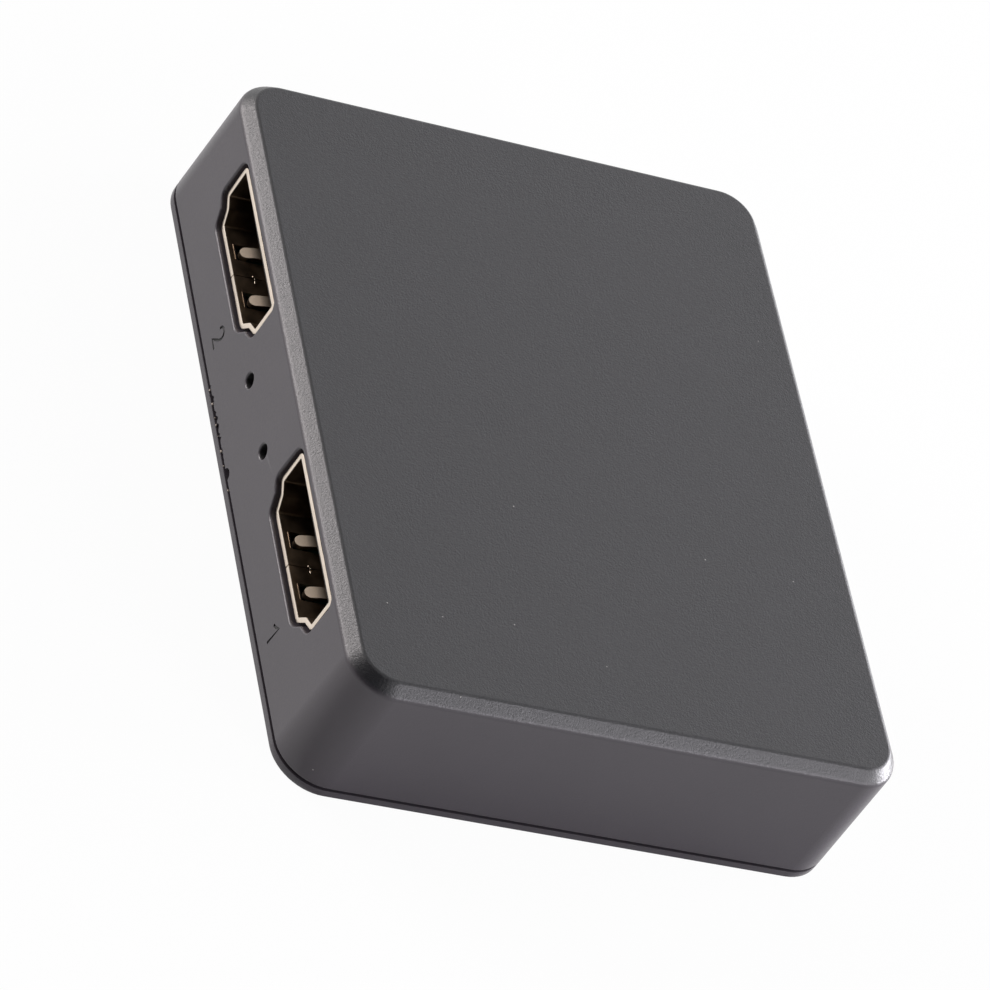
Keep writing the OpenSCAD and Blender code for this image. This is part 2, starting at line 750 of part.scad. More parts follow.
// Bulk capacitors: cans on square bases, beside the power socket
bulk_inset = 5.7;
bulk_x = bulk_inset - board_half_w;
bulk_ys = [3, 10];
bulk_base_t = 1;
bulk_rim = 0.25;
module at_bulk() {
    for (y = bulk_ys) translate([bulk_x, y, board_top]) children();
}
module bulk_capacitor_bases() {
    base = bulk_dia + 2 * bulk_rim;
    color("#303030") at_bulk() translate([-base / 2, -base / 2, 0]) cube([base, base, bulk_base_t]);
}
module bulk_capacitor_cans() {
    r = bulk_dia / 2;
    groove = 0.2;
    groove_z = 0.9;
    groove_half = 0.3;
    color("lightgray") at_bulk() translate([0, 0, bulk_base_t])
        rotate_extrude() polygon([[0, 0], [r, 0], [r, groove_z - groove_half], [r - groove, groove_z],
            [r, groove_z + groove_half], [r, bulk_h - groove], [r - groove, bulk_h], [0, bulk_h]]);
}

// Lights behind the two holes: a body with a lens that faces the hole
light_tall = 2 * light_z;
module at_lights() {
    for (s = [-1, 1]) translate([s * light_x - row_off, -light_y, board_top]) children();
}
module output_led_bodies() {
    color("white") at_lights() translate([-light_w / 2, 0, 0]) cube([light_w, light_d, light_tall]);
}
module output_led_lenses() {
    bulge = 0.6;
    color("lightblue") at_lights() translate([0, 0, light_z]) rotate([90, 0, 0])
        rotate_extrude() polygon(concat([[0, 0], [lens_r, 0]],
            [for (a = [15 : 15 : 90]) lens_r * [cos(a), bulge * sin(a)]]));
}

// Small chip parts in rows behind the sockets and beside the chip
small_cap = 0.3;
small_t = 0.6;
second_row = row_y - 2 * small_d;
column_gap = 3;
row_count = 4;
column_x = chip_w / 2 + lead_reach + column_gap;
module at_row(x, y) {
    for (i = [0 : row_count - 1])
        translate([x + (i - (row_count - 1) / 2) * small_step, y, board_top]) children();
}
module at_capacitors() {
    at_row(port_pitch / 2, -row_y) children();
    at_row(-port_pitch / 2, -row_y) children();
    at_row(0, row_y) children();
}
module at_resistors() {
    at_row(port_pitch / 2, -second_row) children();
    at_row(-port_pitch / 2, -second_row) children();
    for (i = [0 : row_count - 1])
        translate([-column_x, (2 * i - row_count + 1) * small_d, board_top]) children();
}
module small_body() {
    translate([small_cap - small_w / 2, -small_d / 2, 0]) cube([small_w - 2 * small_cap, small_d, small_t]);
}
module chip_capacitors() {
    color("burlywood") at_capacitors() small_body();
}
module chip_resistors() {
    color("#202020") at_resistors() small_body();
}
module small_ends() {
    for (s = [-1, 1]) translate([s * (small_w - small_cap) / 2 - small_cap / 2, -small_d / 2, 0])
        cube([small_cap, small_d, small_t]);
}
module chip_end_caps() {
    color("silver") {
        at_capacitors() small_ends();
        at_resistors() small_ends();
    }
}

top_shell();
bottom_cover();
circuit_board();
board_screws();
at_output(1) video_shell();  // output_1_shell
at_output(1) video_insulator();  // output_1_insulator
at_output(1) video_contacts();  // output_1_contacts
at_output(-1) video_shell();  // output_2_shell
at_output(-1) video_insulator();  // output_2_insulator
at_output(-1) video_contacts();  // output_2_contacts
at_input() video_shell();  // input_shell
at_input() video_insulator();  // input_insulator
at_input() video_contacts();  // input_contacts
at_power() power_shell();
at_power() power_insulator();
at_power() power_contacts();
splitter_chip();
splitter_chip_leads();
memory_chip();
memory_chip_leads();
regulator();
regulator_leads();
crystal_base();
crystal_can();
crystal_leads();
bulk_capacitor_bases();
bulk_capacitor_cans();
output_led_bodies();
output_led_lenses();
chip_capacitors();
chip_resistors();
chip_end_caps();
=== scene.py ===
# %% [markdown]
# # Dressing a small video splitter
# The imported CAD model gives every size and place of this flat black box. This lesson adds what solids leave out:
# soft moulded edges, stamped sockets with spring fingers, engraved digits, a seam that someone has pried at, and
# finishes that answer the light as textured ABS and plated sheet do.

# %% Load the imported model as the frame
import math
import random

import bmesh
import bpy
from mathutils import Matrix, Vector


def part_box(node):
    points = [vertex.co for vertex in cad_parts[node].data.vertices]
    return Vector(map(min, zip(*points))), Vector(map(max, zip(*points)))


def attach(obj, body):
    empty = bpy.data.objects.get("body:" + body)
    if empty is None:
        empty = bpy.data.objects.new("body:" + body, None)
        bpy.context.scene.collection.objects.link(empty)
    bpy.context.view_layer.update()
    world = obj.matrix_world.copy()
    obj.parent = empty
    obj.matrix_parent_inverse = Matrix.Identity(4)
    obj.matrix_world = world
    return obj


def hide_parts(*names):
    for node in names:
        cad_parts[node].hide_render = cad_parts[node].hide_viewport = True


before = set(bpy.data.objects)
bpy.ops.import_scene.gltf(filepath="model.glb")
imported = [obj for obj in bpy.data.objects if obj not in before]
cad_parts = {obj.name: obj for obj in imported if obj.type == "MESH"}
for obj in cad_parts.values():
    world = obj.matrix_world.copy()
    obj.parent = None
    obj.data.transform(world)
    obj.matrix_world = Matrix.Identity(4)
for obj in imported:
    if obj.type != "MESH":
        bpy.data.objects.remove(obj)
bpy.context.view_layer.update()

# %% [markdown]
# The case is a drafted tray turned upside down over a flat cover. Its box comes from the frame, and the values that
# a box can't give, such as the corner radius, are the CAD model's own, in millimetres. Only the bevel is drawn 0.15 mm
# wider than the solid's, as its soft upper edge looks in the photograph.

# %% Sizes of the case
MM = 0.001
shell_low, shell_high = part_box("top_shell")
cover_low, cover_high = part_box("bottom_cover")
CASE_W = shell_high.x - shell_low.x
CASE_D = shell_high.y - shell_low.y
SEAM_Z = shell_low.z
TOP_Z = shell_high.z
CORNER_R = 4.1 * MM
DRAFT = 0.28 * MM
BEVEL_W = 1.0 * MM
BEVEL_H = 1.05 * MM
WALL = 1.6 * MM
COVER_T = 0.75 * MM
COVER_EDGE = 0.1 * MM
FIT_GAP = 0.15 * MM
LIP_H = 1.6 * MM
LIP_T = 1.0 * MM
FLOOR_T = 1.3 * MM
BEVEL_Z = TOP_Z - BEVEL_H
print("case", round(CASE_W / MM, 2), round(CASE_D / MM, 2), "seam at", round(SEAM_Z / MM, 2), "mm")


def side_y(z):
    """Place of the leaning output side at a height."""
    return shell_low.y + DRAFT * (z - SEAM_Z) / (BEVEL_Z - SEAM_Z)


# %% [markdown]
# Operators work on whatever is selected, and the loader leaves every CAD node selected. So three small helpers come
# first: one selects a single object, one selects points, edges or faces by a test, and one applies a modifier.

# %% Selecting and applying
def let_go():
    """Leaves edit mode and deselects everything."""
    if bpy.context.object and bpy.context.object.mode != "OBJECT":
        bpy.ops.object.mode_set(mode="OBJECT")
    bpy.ops.object.select_all(action="DESELECT")


def only(piece):
    """Makes one object the selected and active one, in object mode."""
    let_go()
    piece.select_set(True)
    bpy.context.view_layer.objects.active = piece


def pick(piece, kind, test):
    """Enters edit mode and selects the VERT, EDGE or FACE elements that pass the test."""
    only(piece)
    bpy.ops.object.mode_set(mode="EDIT")
    bpy.ops.mesh.select_mode(type=kind)
    bpy.ops.mesh.select_all(action="DESELECT")
    edited = bmesh.from_edit_mesh(piece.data)
    found = 0
    for part in {"VERT": edited.verts, "EDGE": edited.edges, "FACE": edited.faces}[kind]:
        if test(part):
            part.select_set(True)
            found += 1
    edited.select_flush_mode()
    bmesh.update_edit_mesh(piece.data)
    return found


def modify(piece, kind, **settings):
    """Adds a modifier with its settings and applies it."""
    only(piece)
    added = piece.modifiers.new(kind.title(), kind)
    for name, value in settings.items():
        setattr(added, name, value)
    bpy.ops.object.modifier_apply(modifier=added.name)


def block(name, low, high):
    """A box between two corners, as a start for shaping."""
    let_go()
    low, high = Vector(low), Vector(high)
    bpy.ops.mesh.primitive_cube_add(size=1, location=(low + high) / 2)
    made = bpy.context.object
    made.name = name
    made.scale = high - low
    bpy.ops.object.transform_apply(location=True, rotation=True, scale=True)
    return made


def cut_away(piece, *cutters):
    """Cuts each cutter out of a piece, hands its finish to the new faces, and removes it."""
    for cutter in cutters:
        modify(piece, "BOOLEAN", operation="DIFFERENCE", object=cutter, solver="EXACT", material_mode="TRANSFER")
        bpy.data.objects.remove(cutter)


def weld_on(piece, *others):
    """Joins other closed shapes, with their finishes, to a piece as one skin, and removes them."""
    for other in others:
        modify(piece, "BOOLEAN", operation="UNION", object=other, solver="EXACT", material_mode="TRANSFER")
        bpy.data.objects.remove(other)


def soften(piece, degrees):
    """Smooth shading that breaks at edges sharper than this, with large flats kept flat."""
    only(piece)
    bpy.ops.object.shade_smooth_by_angle(angle=math.radians(degrees))
    modify(piece, "WEIGHTED_NORMAL", keep_sharp=True, weight=100)


# %% [markdown]
# A moulded case starts as its outline. A plane takes the outer size, its four corners are rounded, and two insets
# raise it: the first leans the sides in by the draft that frees the part from its tool, the second makes the bevel
# round the top. Working from one face keeps every ring of points in step round the corners. The lower edge is broken a
# little, which makes the seam a clear dark line.

# %% The case's outer skin
CORNER_STEPS = 14
EDGE_R = {BEVEL_Z: 0.24 * MM, TOP_Z: 0.18 * MM}
EDGE_STEPS = 4

let_go()
bpy.ops.mesh.primitive_plane_add(size=1, location=(0, 0, SEAM_Z))
case_top = bpy.context.object
case_top.name = "case_top"
case_top.scale = (CASE_W, CASE_D, 1)
bpy.ops.object.transform_apply(location=True, rotation=True, scale=True)
pick(case_top, "VERT", lambda v: True)
bpy.ops.mesh.bevel(offset=CORNER_R, segments=CORNER_STEPS, affect="VERTICES")
pick(case_top, "FACE", lambda f: True)
bpy.ops.mesh.inset(thickness=DRAFT, depth=BEVEL_Z - SEAM_Z)
bpy.ops.mesh.inset(thickness=BEVEL_W, depth=BEVEL_H)
modify(case_top, "SOLIDIFY", thickness=WALL, offset=-1, use_even_offset=True, use_quality_normals=True)
for point in case_top.data.vertices:
    point.co.z = max(point.co.z, SEAM_Z)
for height, radius in EDGE_R.items():
    rim = pick(case_top, "EDGE", lambda e: all(abs(v.co.z - height) < 1e-7 for v in e.verts))
    bpy.ops.mesh.bevel(offset=radius, segments=EDGE_STEPS, affect="EDGES")
    print("rounded rim at", round(height / MM, 2), "mm:", rim, "edges")


def on_outline(point):
    """Tells whether a point lies on the case's outline at the seam."""
    past_x = max(abs(point.x) - CASE_W / 2 + CORNER_R, 0)
    past_y = max(abs(point.y) - CASE_D / 2 + CORNER_R, 0)
    return abs(math.hypot(past_x, past_y) - CORNER_R) < 1e-5


FOOT_R = 0.14 * MM
pick(case_top, "EDGE", lambda e: all(abs(v.co.z - SEAM_Z) < 1e-7 and on_outline(v.co) for v in e.verts))
bpy.ops.mesh.bevel(offset=FOOT_R, segments=2, affect="EDGES")
bpy.ops.object.mode_set(mode="OBJECT")
print("case skin", len(case_top.data.polygons), "faces")

# %% [markdown]
# The video sockets have the well-known mouth with two hollow shoulders. Its eight corners, seen from the output side,
# serve three times: for the openings in the case, for the stamped shells, and mirrored for the input. Each corner
# has a radius of its own, so the corners are rounded in groups.

# %% The mouth's outline
socket_low, socket_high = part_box("output_1_shell")
SHEET = 0.45 * MM
PORT_GAP = 0.3 * MM
MOUTH_W, MOUTH_H, MOUTH_NARROW = 14.2 * MM, 4.6 * MM, 10.4 * MM
SHOULDER_Z, SHOULDER_IN, SHOULDER_DROP = 1.61 * MM, 1.07 * MM, 0.47 * MM
MOUTH_Y = socket_low.y
SOCKET_LEN = socket_high.y - socket_low.y
MOUTH_FLOOR = socket_high.z - SHEET - MOUTH_H
half_mouth = [(MOUTH_NARROW / 2, 0), (MOUTH_W / 2 - SHOULDER_IN, SHOULDER_Z - SHOULDER_DROP),
              (MOUTH_W / 2, SHOULDER_Z), (MOUTH_W / 2, MOUTH_H)]
MOUTH = [Vector(p) for p in half_mouth] + [Vector((-x, z)) for x, z in reversed(half_mouth)]
MOUTH_R = [0.25 * MM, 0.6 * MM, 0.2 * MM, 0.15 * MM] * 2
MOUTH_R[4:] = reversed(MOUTH_R[:4])
HOLLOW = (1, 6)
print("mouth floor at", round(MOUTH_FLOOR / MM, 2), "mm, mouth at", round(MOUTH_Y / MM, 3), "mm")


def middle_x(node_name):
    """Middle of a CAD node along X."""
    low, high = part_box(node_name)
    return (low.x + high.x) / 2


def grown(points, by):
    """An outline moved outwards by a distance, corner by corner."""
    moved = []
    for i, point in enumerate(points):
        before = (point - points[i - 1]).normalized()
        after = (points[(i + 1) % len(points)] - point).normalized()
        out_before, out_after = Vector((before.y, -before.x)), Vector((after.y, -after.x))
        moved.append(point + by * (out_before + out_after) / (1 + out_before.dot(out_after)))
    return moved


def mouth_prism(name, by, y_from, y_to, least_r):
    """The mouth's outline, grown by a distance and drawn out between two places along Y."""
    corners = grown(MOUTH, by)
    let_go()
    bpy.ops.mesh.primitive_circle_add(vertices=len(corners), fill_type="NGON", radius=1)
    made = bpy.context.object
    made.name = name
    for point, corner in zip(made.data.vertices, corners):
        point.co = (corner.x, y_from, corner.y + MOUTH_FLOOR)
    for i, corner in enumerate(corners):
        back = (corners[i - 1] - corner).normalized()
        onward = (corners[(i + 1) % len(corners)] - corner).normalized()
        radius = max(least_r, MOUTH_R[i] + (-by if i in HOLLOW else by))
        slide = radius / math.tan(back.angle(onward) / 2)
        place = Vector((corner.x, y_from, corner.y + MOUTH_FLOOR))
        pick(made, "VERT", lambda v: (v.co - place).length < 1e-6)
        bpy.ops.mesh.bevel(offset=slide, segments=6, affect="VERTICES")
    pick(made, "FACE", lambda f: True)
    bpy.ops.mesh.extrude_region_move(TRANSFORM_OT_translate={"value": (0, y_to - y_from, 0)})
    return made


def turn_out(piece):
    """Points every face outwards."""
    pick(piece, "FACE", lambda f: True)
    bpy.ops.mesh.normals_make_consistent(inside=False)
    bpy.ops.object.mode_set(mode="OBJECT")


def placed(piece, x, turn=0):
    """Moves a piece along X and turns it about the upright axis, in its mesh."""
    only(piece)
    piece.data.transform(Matrix.Rotation(math.radians(turn), 4, "Z") @ Matrix.Translation((x, 0, 0)))
    piece.data.update()
    return piece


# %% [markdown]
# Openings are cut as a toolmaker would: a shape stands in the wall and is taken away. Two outputs face -Y, the input
# faces +Y with the power inlet beside it, and two small round holes let the status lights show. The gap round a socket
# is 0.3 mm here, because the rounded edge widens it to the CAD model's 0.45 mm.

# %% Openings in the case
CUT = 1.0 * MM
# A black darker than the case, for the walls that some cutters leave: painted shade in recesses.
recess_painted_shade = bpy.data.materials.new("black_abs_painted_recess_shade")
wall_out, wall_in = shell_low.y - CUT, shell_low.y + WALL + DRAFT + CUT
PLACES = {"output_1": (middle_x("output_1_shell"), 0), "output_2": (middle_x("output_2_shell"), 0), "input": (0, 180)}
for name, (x, turn) in PLACES.items():
    opening = mouth_prism("opening_" + name, SHEET + PORT_GAP, wall_out, wall_in, 0.32 * MM)
    turn_out(opening)
    cut_away(case_top, placed(opening, x, turn))

lens_low, lens_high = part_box("output_led_lenses")
LIGHT_Z = (lens_low.z + lens_high.z) / 2
LIGHT_R, LENS_R = 0.62 * MM, 0.5 * MM
for x in (lens_low.x + LENS_R, lens_high.x - LENS_R):
    let_go()
    bpy.ops.mesh.primitive_cylinder_add(vertices=40, radius=LIGHT_R, depth=wall_in - wall_out,
                                        location=(x, (wall_in + wall_out) / 2, LIGHT_Z),
                                        rotation=(math.pi / 2, 0, 0))
    bpy.ops.object.transform_apply(location=True, rotation=True, scale=True)
    # The light holes' walls take the darker black: painted shade in the holes.
    bpy.context.object.data.materials.append(recess_painted_shade)
    cut_away(case_top, bpy.context.object)
print("after openings", len(case_top.data.polygons), "faces")

# %% [markdown]
# The power inlet is a small flat socket with two slanted lower corners. Its outline is grown by the sheet and the gap,
# as for the others, and its six corners are rounded before it is drawn out through the wall.

# %% The power inlet's opening
inlet_low, inlet_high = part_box("power_insulator")
POWER_X = (inlet_low.x + inlet_high.x) / 2
POWER_W, POWER_H, POWER_NARROW, POWER_SLANT = 6.9 * MM, 1.85 * MM, 5.4 * MM, 0.75 * MM
POWER_SHEET = 0.25 * MM
POWER_FLOOR = MOUTH_FLOOR - 0.2 * MM
half_inlet = [(POWER_NARROW / 2, 0), (POWER_W / 2, POWER_SLANT), (POWER_W / 2, POWER_H)]
INLET = [Vector(p) for p in half_inlet] + [Vector((-x, z)) for x, z in reversed(half_inlet)]
let_go()
bpy.ops.mesh.primitive_circle_add(vertices=len(INLET), fill_type="NGON", radius=1)
inlet_opening = bpy.context.object
for point, corner in zip(inlet_opening.data.vertices, grown(INLET, POWER_SHEET + PORT_GAP)):
    point.co = (corner.x + POWER_X, -wall_out, corner.y + POWER_FLOOR)
pick(inlet_opening, "VERT", lambda v: True)
bpy.ops.mesh.bevel(offset=0.5 * MM, segments=5, affect="VERTICES")
pick(inlet_opening, "FACE", lambda f: True)
bpy.ops.mesh.extrude_region_move(TRANSFORM_OT_translate={"value": (0, wall_out - wall_in, 0)})
turn_out(inlet_opening)
cut_away(case_top, inlet_opening)
print("inlet opening at", round(POWER_X / MM, 2), "mm")

# %% [markdown]
# Moulded openings never have knife edges. Every edge that is sharp and lies on one of the two long sides belongs to an
# opening, so those edges are found by their place and by the angle between their faces, and rounded a little.

# %% Rounded edges of the openings
HOLE_R = 0.2 * MM


def round_openings(piece, sign):
    """Rounds the outer edges of the openings on one long side."""
    def on_side(e):
        flat = all(abs(sign * v.co.y + side_y(v.co.z)) < 2e-6 for v in e.verts)
        inner = all(SEAM_Z + FOOT_R < v.co.z < BEVEL_Z - EDGE_R[BEVEL_Z] / 2 for v in e.verts)
        return flat and inner and len(e.link_faces) == 2 and e.calc_face_angle(0) > 0.6
    found = pick(piece, "EDGE", on_side)
    bpy.ops.mesh.bevel(offset=HOLE_R, segments=3, affect="EDGES", clamp_overlap=False)
    bpy.ops.object.mode_set(mode="OBJECT")
    return found


print("opening edges", round_openings(case_top, -1), round_openings(case_top, 1))

# %% [markdown]
# Use has left its marks on the output side. A blade has scooped a notch at the seam, a small deep hole in a shallow
# dish, and chewed the edge beside it. A strip with a ragged upper edge is cut out there: a plane is divided finely and
# each point of its edge moves by a seeded random amount. The plain digits 1 and 2 are grooves, each cut by a thin rod
# that follows its strokes. The deep hole, the chewed edge and the grooves take a black darker than the case: painted
# shade.

# %% Notch, chewed edge and digits
NOTCH_X = 1.5 * MM
CHEW_FROM, CHEW_TO, CHEW_DEEP = -7.8 * MM, 0.95 * MM, 0.22 * MM
STROKE_R = 0.13 * MM
chance = random.Random(7)
for radius, deep, wide in ((1.4 * MM, 0.1 * MM, 1.0), (0.8 * MM, 0.8 * MM, 0.72)):
    let_go()
    bpy.ops.mesh.primitive_uv_sphere_add(segments=40, ring_count=20, radius=radius,
                                         location=(NOTCH_X, shell_low.y + deep - radius, SEAM_Z))
    scoop = bpy.context.object
    scoop.scale = (wide, 1, wide)
    bpy.ops.object.transform_apply(location=True, rotation=True, scale=True)
    # The deep hole's walls take the darker black: painted shade in the hole.
    if wide < 1:
        scoop.data.materials.append(recess_painted_shade)
    cut_away(case_top, scoop)

let_go()
bpy.ops.mesh.primitive_plane_add(size=1, location=((CHEW_FROM + CHEW_TO) / 2, shell_low.y - CHEW_DEEP, SEAM_Z),
                                 rotation=(math.pi / 2, 0, 0))
chewed = bpy.context.object
chewed.scale = (CHEW_TO - CHEW_FROM, 0.2 * MM, 1)
bpy.ops.object.transform_apply(location=True, rotation=True, scale=True)
pick(chewed, "EDGE", lambda e: abs(e.verts[0].co.z - e.verts[1].co.z) < 1e-7)
bpy.ops.mesh.subdivide(number_cuts=46)
bpy.ops.object.mode_set(mode="OBJECT")
for point in chewed.data.vertices:
    if point.co.z > SEAM_Z:
        point.co.z = SEAM_Z + chance.choice((0.02, 0.02, 0.05, 0.12, 0.2, 0.28, 0.36)) * MM
        point.co.x += chance.uniform(-0.05, 0.05) * MM
pick(chewed, "FACE", lambda f: True)
bpy.ops.mesh.extrude_region_move(TRANSFORM_OT_translate={"value": (0, 2 * CHEW_DEEP, 0)})
turn_out(chewed)
# The chewed edge's cut faces take the darker black: painted shade in the seam.
chewed.data.materials.append(recess_painted_shade)
cut_away(case_top, chewed)

DIGITS = {
    "digit_1": [(18.60, 3.77), (19.05, 4.00), (19.41, 4.38), (19.38, 2.40)],
    "digit_2": [(-11.47, 3.96), (-11.34, 4.33), (-11.05, 4.50), (-10.70, 4.45), (-10.47, 4.20), (-10.43, 3.88),
                (-10.58, 3.52), (-10.95, 3.08), (-11.42, 2.58), (-10.36, 2.56)],
}
for name, points in DIGITS.items():
    path = bpy.data.curves.new(name, "CURVE")
    path.dimensions, path.bevel_depth, path.bevel_resolution, path.use_fill_caps = "3D", STROKE_R, 3, True
    line = path.splines.new("POLY")
    line.points.add(len(points) - 1)
    for place, (x, z) in zip(line.points, points):
        place.co = (x * MM, side_y(z * MM) - STROKE_R * 0.2, z * MM, 1)
    rod = bpy.data.objects.new(name, path)
    bpy.context.scene.collection.objects.link(rod)
    only(rod)
    bpy.ops.object.convert(target="MESH")
    # The grooves' walls take the darker black: painted shade in the strokes.
    rod.data.materials.append(recess_painted_shade)
    turn_out(rod)
    cut_away(case_top, rod)
soften(case_top, 32)
print("marked case", len(case_top.data.polygons), "faces", [m.name if m else None for m in case_top.data.materials])

# %% [markdown]
# The cover is a plate with a small bevel underneath and a lip that slides into the case. It is built upside down: the
# outline is drawn at the seam and pushed down, then the top is filled and its inner part raised to make the lip.

# %% The cover
let_go()
bpy.ops.mesh.primitive_plane_add(size=1, location=(0, 0, COVER_T))
case_cover = bpy.context.object
case_cover.name = "case_cover"
case_cover.scale = (CASE_W, CASE_D, 1)
bpy.ops.object.transform_apply(location=True, rotation=True, scale=True)
pick(case_cover, "VERT", lambda v: True)
bpy.ops.mesh.bevel(offset=CORNER_R, segments=CORNER_STEPS, affect="VERTICES")
pick(case_cover, "FACE", lambda f: True)
bpy.ops.mesh.flip_normals()
bpy.ops.mesh.extrude_region_move(TRANSFORM_OT_translate={"value": (0, 0, COVER_EDGE - COVER_T)})
bpy.ops.mesh.inset(thickness=COVER_EDGE, depth=COVER_EDGE)
turn_out(case_cover)
pick(case_cover, "FACE", lambda f: f.normal.z > 0.9)
bpy.ops.mesh.inset(thickness=WALL + FIT_GAP, depth=0)
bpy.ops.mesh.extrude_region_move(TRANSFORM_OT_translate={"value": (0, 0, LIP_H)})
bpy.ops.mesh.inset(thickness=LIP_T, depth=0)
bpy.ops.mesh.extrude_region_move(TRANSFORM_OT_translate={"value": (0, 0, FLOOR_T - COVER_T - LIP_H)})
turn_out(case_cover)
for height, radius in ((COVER_T, 0.06 * MM), (COVER_EDGE, 0.06 * MM)):
    pick(case_cover, "EDGE", lambda e: all(abs(v.co.z - height) < 1e-7 for v in e.verts)
         and e.calc_face_angle(0) > 0.3 and abs(max(abs(v.co.x) / CASE_W + abs(v.co.y) / CASE_D
                                                   for v in e.verts)) > 0.49)
    bpy.ops.mesh.bevel(offset=radius, segments=2, affect="EDGES")
bpy.ops.object.mode_set(mode="OBJECT")

# %% [markdown]
# Prying leaves pale crumbs of stressed plastic in the seam. Each is a small ball, squashed by a seeded random amount
# and half sunk in the cover's edge, so that nothing stands out of the case.

# %% Crumbs in the seam
crumb_white = bpy.data.materials.new("whitened_abs_crumbs")
for x, length in ((-7.5, 0.25), (-6.05, 0.3), (-4.6, 0.12), (-3.85, 0.2), (-2.7, 0.1), (-1.15, 0.28), (0.35, 0.15),
                  (2.85, 0.3)):
    let_go()
    bpy.ops.mesh.primitive_ico_sphere_add(subdivisions=2, radius=1, location=(
        x * MM, shell_low.y + 0.12 * MM, COVER_T - chance.uniform(0.0, 0.04) * MM))
    crumb = bpy.context.object
    crumb.scale = (length / 2 * MM, 0.1 * MM, chance.uniform(0.1, 0.16) * MM)
    bpy.ops.object.transform_apply(location=True, rotation=True, scale=True)
    for point in crumb.data.vertices:
        point.co.x += chance.uniform(-0.02, 0.02) * MM
        point.co.z += chance.uniform(-0.02, 0.02) * MM
    crumb.data.materials.append(crumb_white)
    weld_on(case_cover, crumb)
soften(case_cover, 32)
print("cover", len(case_cover.data.polygons), "faces", [m.name if m else None for m in case_cover.data.materials])

# %% [markdown]
# A socket's shell is one piece of sheet, cut flat, rolled to the mouth's outline and butted in the narrow wall. The
# rolled tube is the outline drawn out and given the sheet's thickness outwards. Round-ended slots free four fingers.

# %% The rolled socket tube
FINGER_W, FINGER_X, FINGER_SLOT = 1.1 * MM, 2.55 * MM, 0.3 * MM
FINGER_TIP, FINGER_LEN, FINGER_LIFT = 1.02 * MM, 5.48 * MM, 0.4 * MM
TIP_LEN, CREST_LEN, TIP_RISE = 2.0 * MM, 0.7 * MM, 0.05 * MM
FLOOR_CUTBACK, BUTT_GAP, BOND = 2.4 * MM, 0.08 * MM, 0.3 * MM
finger_root = MOUTH_Y + FINGER_TIP + FINGER_LEN
slot_front = MOUTH_Y + 0.62 * MM
socket_shell = mouth_prism("output_1_socket", 0, MOUTH_Y, MOUTH_Y + SOCKET_LEN, 0.1 * MM)
turn_out(socket_shell)
pick(socket_shell, "FACE", lambda f: abs(f.normal.y) > 0.9)
bpy.ops.mesh.delete(type="ONLY_FACE")
bpy.ops.object.mode_set(mode="OBJECT")
modify(socket_shell, "SOLIDIFY", thickness=SHEET, offset=1, use_even_offset=True, use_quality_normals=True)
print("tube width", round(socket_shell.dimensions.x / MM, 3), "mm")


def finger_blank(name, x, y_from, half, low, high, corner_r):
    """A strip with rounded corners towards the mouth."""
    made = block(name, (x - half, y_from, low), (x + half, finger_root + BOND, high))
    pick(made, "EDGE", lambda e: all(abs(v.co.y - y_from) < 1e-7 for v in e.verts)
         and abs(e.verts[0].co.x - e.verts[1].co.x) < 1e-7)
    bpy.ops.mesh.bevel(offset=corner_r, segments=7, affect="EDGES")
    bpy.ops.object.mode_set(mode="OBJECT")
    return made


def finger_rise(y):
    """How far a finger stands into the mouth at a place along it."""
    tip = MOUTH_Y + FINGER_TIP
    crest_from, crest_to = tip + TIP_LEN, tip + TIP_LEN + CREST_LEN
    if y < crest_from:
        t = (y - tip) / TIP_LEN
        return TIP_RISE + (FINGER_LIFT - TIP_RISE) * math.sin(t * math.pi / 2)
    if y < crest_to:
        return FINGER_LIFT
    t = min(1.0, (y - crest_to) / (finger_root - crest_to))
    return FINGER_LIFT * (1 + math.cos(t * math.pi)) / 2


# %% [markdown]
# Each finger is a strip with a round tip, cut free on three sides and bent into the mouth, where it springs against a
# plug. A larger blank cuts its slot first. Then the strip is sliced crosswise, its points follow the bend, and it is
# welded to the tube at its root. Stamping leaves a low burr in front of each slot. The tips lie 0.12 mm deeper than the
# solids', as the photograph shows them.

